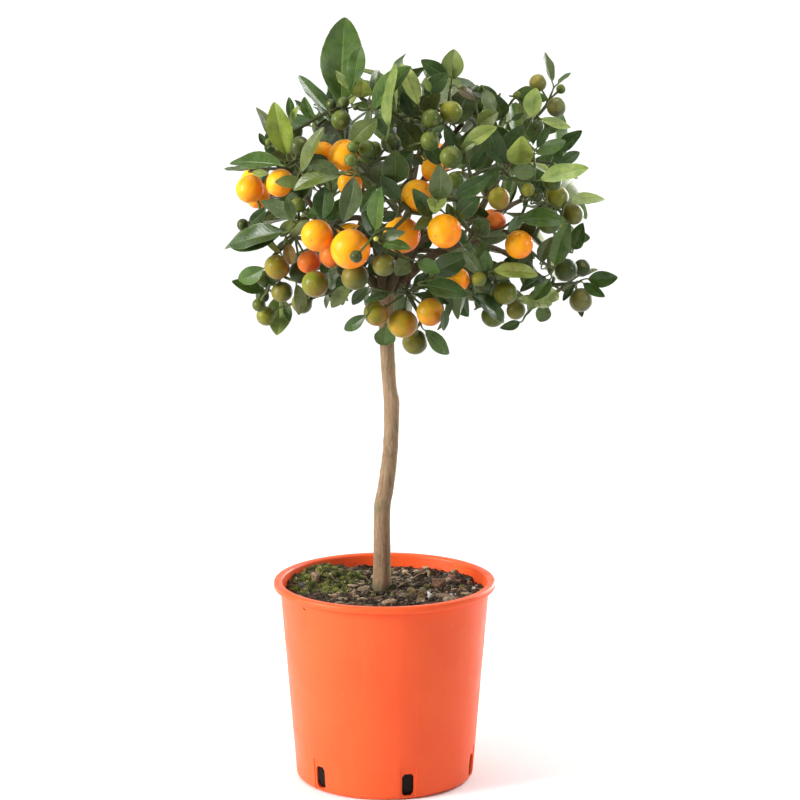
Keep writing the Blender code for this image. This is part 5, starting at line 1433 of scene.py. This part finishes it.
# A thin white chip that stands on its edge: the pixels of its corners
WHITE_CHIP = ((427.3, 590.7), (433.3, 596.0), (427.8, 599.7))
WHITE_CHIP_BACK = (0.0004, 0.0007, 0.0)
FLUFF_SEEN = (303, 587)
FLUFF_RADIUS = 0.0034
SEEN_TUFTS = ((428, 588), (426, 590), (421, 592), (392, 596), (389, 594), (461, 588), (373, 597), (404, 594))
SEEN_TWIGS = (
    ((361, 566), (364, 560), (367, 554)), ((398, 579), (405, 575), (412, 577)),
    ((396, 589), (404, 584), (411, 581)), ((412, 580), (419, 577), (424, 574)),
    ((436, 590), (440, 594), (445, 597)), ((371, 584), (367, 580), (365, 577)),
)
SEEN_TWIG_RADIUS = 0.0007
SEEN_TWIG_TINTS = ((0.06, 0.04, 0.03, 0),) + ((0.34, 0.26, 0.15, 0),) * 5


def lumpy(x, y, fineness, layer):
    """Smooth noise over the soil."""
    return noise.noise(Vector((x * fineness, y * fineness, layer)))


def coarse_height(x, y):
    """The solid's soil surface."""
    lumps = lumpy(x, y, 42, 3.1) + 0.5 * lumpy(x, y, 110, 7.7)
    away = hypot(x - MOUND_CENTRE[0], y - MOUND_CENTRE[1]) / MOUND_RADIUS
    mound = max(0.0, 1 - away * away) ** 1.5
    return SOIL_LEVEL + SOIL_LUMPS * lumps + MOUND_HEIGHT * mound


def soil_height(x, y):
    """The soil's surface with its crumbs, piled a little round the trunk."""
    crumbs = sum(lumpy(x, y, fineness, layer) * height for fineness, layer, height in CRUMBS)
    crumbs += PILE_HEIGHT * exp(-((x - TRUNK_X) ** 2 + y ** 2) / PILE_RADIUS ** 2)
    return coarse_height(x, y) + crumbs + lumpy(x, y, *GRAINS) * GRAIN_HEIGHT - SETTLED


def above_soil(x, y, lift=0.0):
    """The point this far above the soil's surface."""
    return Vector((x, y, soil_height(x, y) + lift))


def mossy(x, y):
    """How mossy the soil is at this place, from 0 to 1."""
    ragged = 0.30 * lumpy(x, y, 90, 9.0)
    shares = [(1 - hypot(x - u, y - v) / reach + ragged) * 2.2 for u, v, reach in MOSS_SPOTS]
    return min(1.0, max(0.0, *shares))


def soil_edge():
    """Where the soil meets the wall."""
    return WALL_TOP_RADIUS - WALL - GAP * 2 - WALL_SLOPE * (POT_HEIGHT - SOIL_LEVEL)


def build_soil(trunk_radius, loam):
    """The potting mix as a closed body with a crumbly top."""
    edge = soil_edge()
    hole = trunk_radius * HOLE_SHARE
    floor = FLOOR_THICKNESS + GAP
    rings = [(0.001, floor), (BASE_RADIUS - CORNER_RADIUS - 2 * GAP, floor),
             (BASE_RADIUS - WALL - 2 * GAP, CORNER_RADIUS + FLOOR_THICKNESS + GAP)]
    below = len(rings)
    rings += [(edge + (hole - edge) * step / SOIL_RINGS, None) for step in range(SOIL_RINGS + 1)]
    corners = []
    tints = []
    for index, (radius, height) in enumerate(rings):
        share = max(0.0, (index - below) / SOIL_RINGS)
        for side in range(SOIL_SIDES):
            turn = 2 * pi * side / SOIL_SIDES
            x = TRUNK_X * share + radius * cos(turn)
            y = radius * sin(turn)
            corners.append(above_soil(x, y) if height is None else Vector((x, y, height)))
            moss = mossy(x, y) if height is None else 0.0
            tints.append(tuple(a + (b - a) * moss * GREENED for a, b in zip(SOIL_TINT, MOSS_TINT)))
    faces = grid_faces(len(rings), SOIL_SIDES, True)
    faces.append(tuple(range(SOIL_SIDES)))
    faces.append(tuple(reversed(range(len(corners) - SOIL_SIDES, len(corners)))))
    build = Builder()
    build.add(corners, [face[::-1] for face in faces], 0, tints)
    build.make("potting_mix", [loam], ["soil"])


def scattered(draw, count, inner, outer):
    """Seeded places on the soil, each with its number."""
    for number in range(count):
        turn = draw.uniform(0, 2 * pi)
        reach = sqrt(draw.uniform(inner ** 2, outer ** 2))
        yield number, reach * cos(turn), reach * sin(turn)


def at_trunk(turn, reach, lift):
    """A place on the soil beside the trunk."""
    return above_soil(TRUNK_X + reach * cos(turn), reach * sin(turn), lift)


def soil_seen(across, down, lift=0.0):
    """The place on the soil that the photograph shows at this pixel, or this far above it."""
    depth = 0.0
    for _ in range(SEARCH_STEPS):
        spot = seen_at(across, down, depth)
        depth += (spot.z - soil_height(spot.x, spot.y)) * SEARCH_PULL
    share = min(1.0, (soil_edge() - FROM_WALL) / hypot(spot.x, spot.y))
    return above_soil(spot.x * share, spot.y * share) + Vector((0, 0, lift))


def add_lump(build, spot, size, tint, draw, rough=0.45, detail=2):
    """A bit of bark, soil or stone: a small ball pressed and chipped."""
    work = bmesh.new()
    bmesh.ops.create_icosphere(work, subdivisions=detail, radius=1.0)
    shift = drawn_shift(draw, 30)
    spin = Matrix.Rotation(draw.uniform(0, WHOLE_TURN), 3, "Z")
    spin = spin @ Matrix.Rotation(draw.uniform(-0.5, 0.5), 3, "X")
    if detail > 2:
        spin = Matrix.Rotation(draw.uniform(-0.25, 0.25), 3, "Z")
    corners = []
    for corner in work.verts:
        bulge = 1 + rough * noise.noise(corner.co * 1.3 + shift)
        bulge += rough * 0.35 * noise.noise(corner.co * 4.1 + shift)
        way = Vector([copysign(abs(value) ** 0.75, value) for value in corner.co])
        corners.append(spot + spin @ Vector([value * bulge * side for value, side in zip(way, size)]))
    faces = [tuple(corner.index for corner in face.verts) for face in work.faces]
    work.free()
    build.add(corners, faces, 0, tint)


def add_shoot(build, foot, tip, turn, half, tint):
    """One moss shoot: a narrow blade that comes to a point."""
    side = Vector((cos(turn), sin(turn), 0)) * half
    middle = foot.lerp(tip, 0.55) + Vector((0, 0, (tip - foot).length * 0.12))
    corners = [foot - side, foot + side, middle + side * 0.8, middle - side * 0.8, tip]
    build.add(corners, [(0, 1, 2, 3), (3, 2, 4)], 0, tint)


def add_cushion(build, spot, radius, draw, tone=None):
    """A cushion of moss: a low dome covered with short shoots."""
    tone = tone or draw.choice(MOSS_TINTS)
    # The dome is 0.4 times as bright as its shoots: painted shade in the gaps between them.
    shade_dome = shaded([value * 0.4 for value in tone], draw, 0.2)
    add_lump(build, spot, (radius, radius, radius * 0.7), shade_dome, draw)
    for _ in range(int(CUSHION_SHOOTS * radius)):
        way = Vector((draw.gauss(0, 1), draw.gauss(0, 1), abs(draw.gauss(0, 1)) + 0.25)).normalized()
        foot = spot + Vector((way.x, way.y, way.z * 0.7)) * radius * 0.92
        tip = foot + (way + Vector((0, 0, 0.3))) * draw.uniform(*CUSHION_SHOOT_HEIGHTS)
        turn = draw.uniform(0, pi)
        half = draw.uniform(*CUSHION_SHOOT_HALVES)
        add_shoot(build, foot, tip, turn, half, shaded(tone, draw, 0.35))


def add_fibre(build, points, radius, tint):
    """A root or a twig along these points, thinner toward its far end."""
    smooth, widths = smooth_route(points, [radius * (1 - 0.1 * step) for step in range(len(points))], 3)
    add_tube(build, smooth, widths, 5, 0, tint)


def build_chips(trunk_radius, draw, edge, material):
    """Crumbs, bark chips and stones, with the bits that the photograph shows."""
    chips = Builder()
    for number, x, y in scattered(draw, BITS, FROM_TRUNK, edge):
        if mossy(x, y) > 0.5 and draw.random() < 0.75:
            continue
        crumb = number >= CHIPS
        size = draw.uniform(*(CRUMB_SIZES if crumb else CHIP_SIZES))
        if number < LARGE_CHIPS:
            size *= LARGER
        sides = (size * draw.uniform(0.8, 1.5), size * draw.uniform(0.4, 0.9), size * draw.uniform(0.25, 0.5))
        if crumb:
            sides = (size, size * draw.uniform(0.7, 1.0), size * draw.uniform(0.6, 1.0))
        tint = shaded(draw.choice(CRUMB_TINTS if crumb else CHIP_TINTS), draw, 0.25)
        add_lump(chips, above_soil(x, y, sides[2] * 0.35), sides, tint, draw, detail=1 if crumb else 2)
    for _, x, y in scattered(draw, STONES, FROM_TRUNK + 0.001, edge):
        size = draw.uniform(*STONE_SIZES)
        sides = (size, size * draw.uniform(0.7, 1.0), size * draw.uniform(0.5, 0.8))
        grey = draw.uniform(0.2, 0.5)
        add_lump(chips, above_soil(x, y, size * 0.25), sides, (grey, grey * 0.90, grey * 0.78, 0), draw)
    for across, down, wide, deep, high, kind in SEEN_BITS:
        sides = (wide / 1000, deep / 1000, high / 1000)
        tint = shaded(BIT_TINTS[kind], draw, 0.05)
        add_lump(chips, soil_seen(across, down, sides[2] * 0.6), sides, tint, draw, 0.6, 3)
    for _ in range(BITS_AT_TRUNK):
        turn = draw.uniform(0, 2 * pi)
        size = draw.uniform(*BIT_SIZES_AT_TRUNK)
        spot = at_trunk(turn, trunk_radius * 1.1 + size * 0.6, size * 0.2)
        tint = shaded(draw.choice(CRUMB_TINTS), draw, 0.25)
        add_lump(chips, spot, (size, size, size * 0.8), tint, draw)
    foot = soil_seen(*WHITE_CHIP[2])
    front = [seen_at(across, down, foot.y) for across, down in WHITE_CHIP]
    back = [corner + Vector(WHITE_CHIP_BACK) for corner in front]
    plate = [(0, 2, 1), (3, 4, 5), (0, 1, 4, 3), (1, 2, 5, 4), (2, 0, 3, 5)]
    chips.add(front + back, plate, 0, BIT_TINTS["white"])
    chips.make("bark_chips", [material])


def build_fibres(draw, edge, material):
    """The twigs that the photograph shows on the soil, and fine loose roots."""
    roots = Builder()
    for route, tint in zip(SEEN_TWIGS, SEEN_TWIG_TINTS):
        add_fibre(roots, [soil_seen(*spot, 0.0012) for spot in route], SEEN_TWIG_RADIUS, tint)
    for number, x, y in scattered(draw, FIBRES, FROM_TRUNK - 0.001, edge - 0.004):
        heading = draw.uniform(0, WHOLE_TURN)
        length = draw.uniform(*FIBRE_LENGTHS)
        points = []
        for step in range(FIBRE_STEPS + 1):
            heading += draw.uniform(-0.75, 0.75)
            x += cos(heading) * length / FIBRE_STEPS
            y += sin(heading) * length / FIBRE_STEPS
            if hypot(x, y) > edge:
                break
            arch = FIBRE_ARCH * sin(pi * step / FIBRE_STEPS) * draw.random()
            points.append(Vector((x, y, soil_height(x, y) + FIBRE_LIFT + arch)))
        if len(points) > 3:
            pale = draw.uniform(0.08, 0.20) if number % 3 else draw.uniform(0.30, 0.45)
            add_fibre(roots, points, draw.uniform(*FIBRE_RADII), (pale, pale * 0.76, pale * 0.48, 0))
    roots.make("loose_fibres", [material])


def build_moss(trunk_radius, draw, edge, material):
    """Cushions and single shoots of moss."""
    moss = Builder()
    for _, x, y in scattered(draw, CUSHIONS, 0.0, edge):
        clump = 0.5 + 0.5 * lumpy(x, y, 150, 6.0)
        if mossy(x, y) * (0.35 + clump) < draw.uniform(0.30, 0.95):
            continue
        radius = draw.uniform(*CUSHION_RADII) * (0.7 + 0.6 * clump)
        add_cushion(moss, above_soil(x, y, -radius * 0.15), radius, draw)
    for spot in SEEN_TUFTS:
        add_cushion(moss, soil_seen(*spot, 0.001), draw.uniform(*TUFT_RADII), draw)
    add_cushion(moss, soil_seen(*FLUFF_SEEN, 0.0015), FLUFF_RADIUS, draw, FLUFF_TINT)
    for number in range(CUSHIONS_AT_TRUNK):
        turn = 2 * pi * number / CUSHIONS_AT_TRUNK + draw.uniform(-0.15, 0.15)
        radius = draw.uniform(*CUSHION_RADII_AT_TRUNK)
        spot = at_trunk(turn, trunk_radius * 1.12 + radius * 0.3, radius * 0.2)
        add_cushion(moss, spot, radius, draw, FOOT_MOSS_TINT)
    for _, x, y in scattered(draw, SHOOTS, 0.0, edge):
        if mossy(x, y) < 0.35 and draw.random() > 0.10:
            continue
        foot = above_soil(x, y, -0.0004)
        height = draw.uniform(*SHOOT_HEIGHTS)
        tip = foot + Vector((draw.uniform(-0.6, 0.6), draw.uniform(-0.6, 0.6), 1)) * height
        tint = shaded(draw.choice(MOSS_TINTS), draw, 0.3)
        add_shoot(moss, foot, tip, draw.uniform(0, pi), draw.uniform(*SHOOT_HALVES), tint)
    moss.make("moss", [material])


# Putting it together

def build_crown(limb_routes, headings, trunk_route):
    """The ripe fruits and the leafy sprays, each read from its own solid."""
    solids = {node[6:]: welded(node) for node in sorted(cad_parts) if node.startswith("spray_")}
    leaves = {}
    fruits = {}
    for name, (corners, links) in solids.items():
        ends = range(len(corners))
        leaves[name] = [leaf for leaf in (read_leaf(corners, links, end) for end in ends) if leaf]
        fruits[name] = [fruit for fruit in (read_unripe(corners, links, end) for end in ends) if fruit]
    stalks = {name: corners for name, (corners, _) in solids.items()}
    ripe_peel = peel_material("ripe_peel", True)
    draw = random.Random(SEED)
    for node in sorted(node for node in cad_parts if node.startswith("orange_")):
        fruit, spray = read_ripe(node, stalks)
        fruits[spray].append(fruit)
        tone = tone_at(fruit.centre, TURNING_AND_SHADED_RIPE, "o")
        build = Builder()
        blotched = 0.06 if tone in "or" else 0.6
        add_fruit(build, fruit, 0, shaded(FRUIT_COLOURS[tone], draw, 0.05, blotched), draw)
        build.make("ripe_" + node, [ripe_peel], [node])
    every = [fruit for group in fruits.values() for fruit in group]
    sprays = [Twigs(name, headings[name], leaves[name], fruits[name], every) for name in solids]
    wood = [trunk_route] + limb_routes
    clearance = Clearance([leaf for group in leaves.values() for leaf in group], every, wood)
    add_seen_leaves(sprays, clearance, every)
    materials = [leaf_material("leaf_upper", False), leaf_material("leaf_lower", True),
                 twig_material(), peel_material("green_peel", False)]
    for twigs in sprays:
        add_inner_leaves(twigs, clearance, draw)
        build_spray(twigs.name, twigs, materials)


def build_ground(trunk_radius):
    """The potting mix and what lies on it."""
    loam = ground_material("potting_mix", (0.24, 0.185, 0.13), (0.38, 0.36, 0.34), 330.0, 0.0012, True)
    chip = ground_material("bark_chip", (0.34, 0.26, 0.17), (0.55, 0.52, 0.50), 420.0, 0.0006)
    moss = ground_material("moss", (0.38, 0.42, 0.12), (0.60, 0.66, 0.60), 500.0, 0.0003)
    root = ground_material("fibre", (0.28, 0.20, 0.12), (0.60, 0.56, 0.52), 700.0, 0.0002)
    build_soil(trunk_radius, loam)
    draw = random.Random(SEED)
    edge = soil_edge() - FROM_WALL
    build_chips(trunk_radius, draw, edge, chip)
    build_fibres(draw, edge, root)
    build_moss(trunk_radius, draw, edge, moss)


# Studio

FLOOR_FRONT = -5.0
FLOOR_BACK = 2.2
FLOOR_HALF = 6.0
CURVE_RADIUS = 1.6
CURVE_STEPS = 10
BACKDROP_HEIGHT = 5.0
WORLD_STRENGTH = 0.34
FAR_CLIP = 50.0
TREE_MIDDLE = (0.0, 0.0, 0.40)
# Name, place, what it points at, width and height, power in watts, and spread in degrees
LIGHTS = (
    ("key", (-2.30, -0.90, 1.20), TREE_MIDDLE, (1.0, 1.4), 23.0, 80),
    ("fill", (1.7, -1.2, 1.9), (0.05, 0.0, 0.66), (1.2, 1.2), 0.40, 40),
    ("glow", (1.25, -0.60, 0.95), (0.18, 0.0, 0.66), (0.4, 0.4), 0.50, 32),
    ("top", (0.0, 0.0, 2.6), TREE_MIDDLE, (2.0, 2.0), 46.0, 180),
    ("rim_left", (-1.5, 1.4, 0.9), TREE_MIDDLE, (0.9, 1.6), 1.6, 100),
    ("rim_right", (1.3, 1.5, 0.7), TREE_MIDDLE, (1.3, 1.8), 22.0, 100),
    ("backdrop", (0.0, 1.9, 3.2), (0.0, 3.4, 0.6), (4.0, 0.8), 40.0, 120),
)


def build_floor():
    """A pale floor that curves up far behind."""
    shade = Shade("studio_floor", 0.7, Specular_IOR_Level=0.2)
    cloud = shade.patches(3.0, 3.0, 0.3, 0.7)
    fine = shade.noise(180.0, 3.0)
    colour = shade.mix(cloud, (0.90, 0.90, 0.90), (0.88, 0.88, 0.88))
    paper = shade.finish(colour, None, fine, 0.0002, 0.3)
    rows = [(FLOOR_FRONT, 0.0), (FLOOR_BACK, 0.0)]
    for step in range(1, CURVE_STEPS + 1):
        turn = step * pi / (2 * CURVE_STEPS)
        y = FLOOR_BACK + CURVE_RADIUS * sin(turn)
        rows.append((y, CURVE_RADIUS - CURVE_RADIUS * cos(turn)))
    rows.append((FLOOR_BACK + CURVE_RADIUS, BACKDROP_HEIGHT))
    corners = [(side * FLOOR_HALF, y, z) for y, z in rows for side in (-1, 1)]
    faces = [face[::-1] for face in grid_faces(len(rows), 2, False)]
    floor = new_object("studio_floor", smooth_mesh("studio_floor", corners, faces, [paper]))


def build_studio():
    """The floor, white surroundings, soft light from the front left, and the camera."""
    build_floor()
    world = bpy.data.worlds.new("studio")
    world.use_nodes = True
    background = world.node_tree.nodes["Background"]
    background.inputs["Color"].default_value = (1.0, 1.0, 1.0, 1.0)
    background.inputs["Strength"].default_value = WORLD_STRENGTH
    scene = bpy.context.scene
    scene.world = world
    for name, spot, target, size, power, spread in LIGHTS:
        data = bpy.data.lights.new(name, "AREA")
        data.shape = "RECTANGLE"
        data.size, data.size_y = size
        data.energy = power
        data.spread = radians(spread)
        light = new_object(name, data)
        light.location = spot
        light.rotation_euler = (Vector(target) - Vector(spot)).to_track_quat("-Z", "Y").to_euler()
    data = bpy.data.cameras.new("photo_view")
    data.sensor_width = SENSOR
    data.lens = PICTURE_SCALE * SENSOR / PICTURE_SIZE
    data.clip_end = FAR_CLIP
    camera = new_object("photo_view", data)
    camera.location = EYE
    camera.rotation_euler = (pi / 2 - TILT, 0.0, 0.0)
    scene.camera = camera
    scene.view_settings.view_transform = "Standard"


trunk_points, trunk_radii, limb_routes, spray_headings = trunk_routes()
build_trunk(trunk_points, trunk_radii, limb_routes, bark_material())
build_crown(limb_routes, spray_headings, (trunk_points, trunk_radii))
build_pot(pot_material())
build_ground(trunk_radii[0])
build_studio()
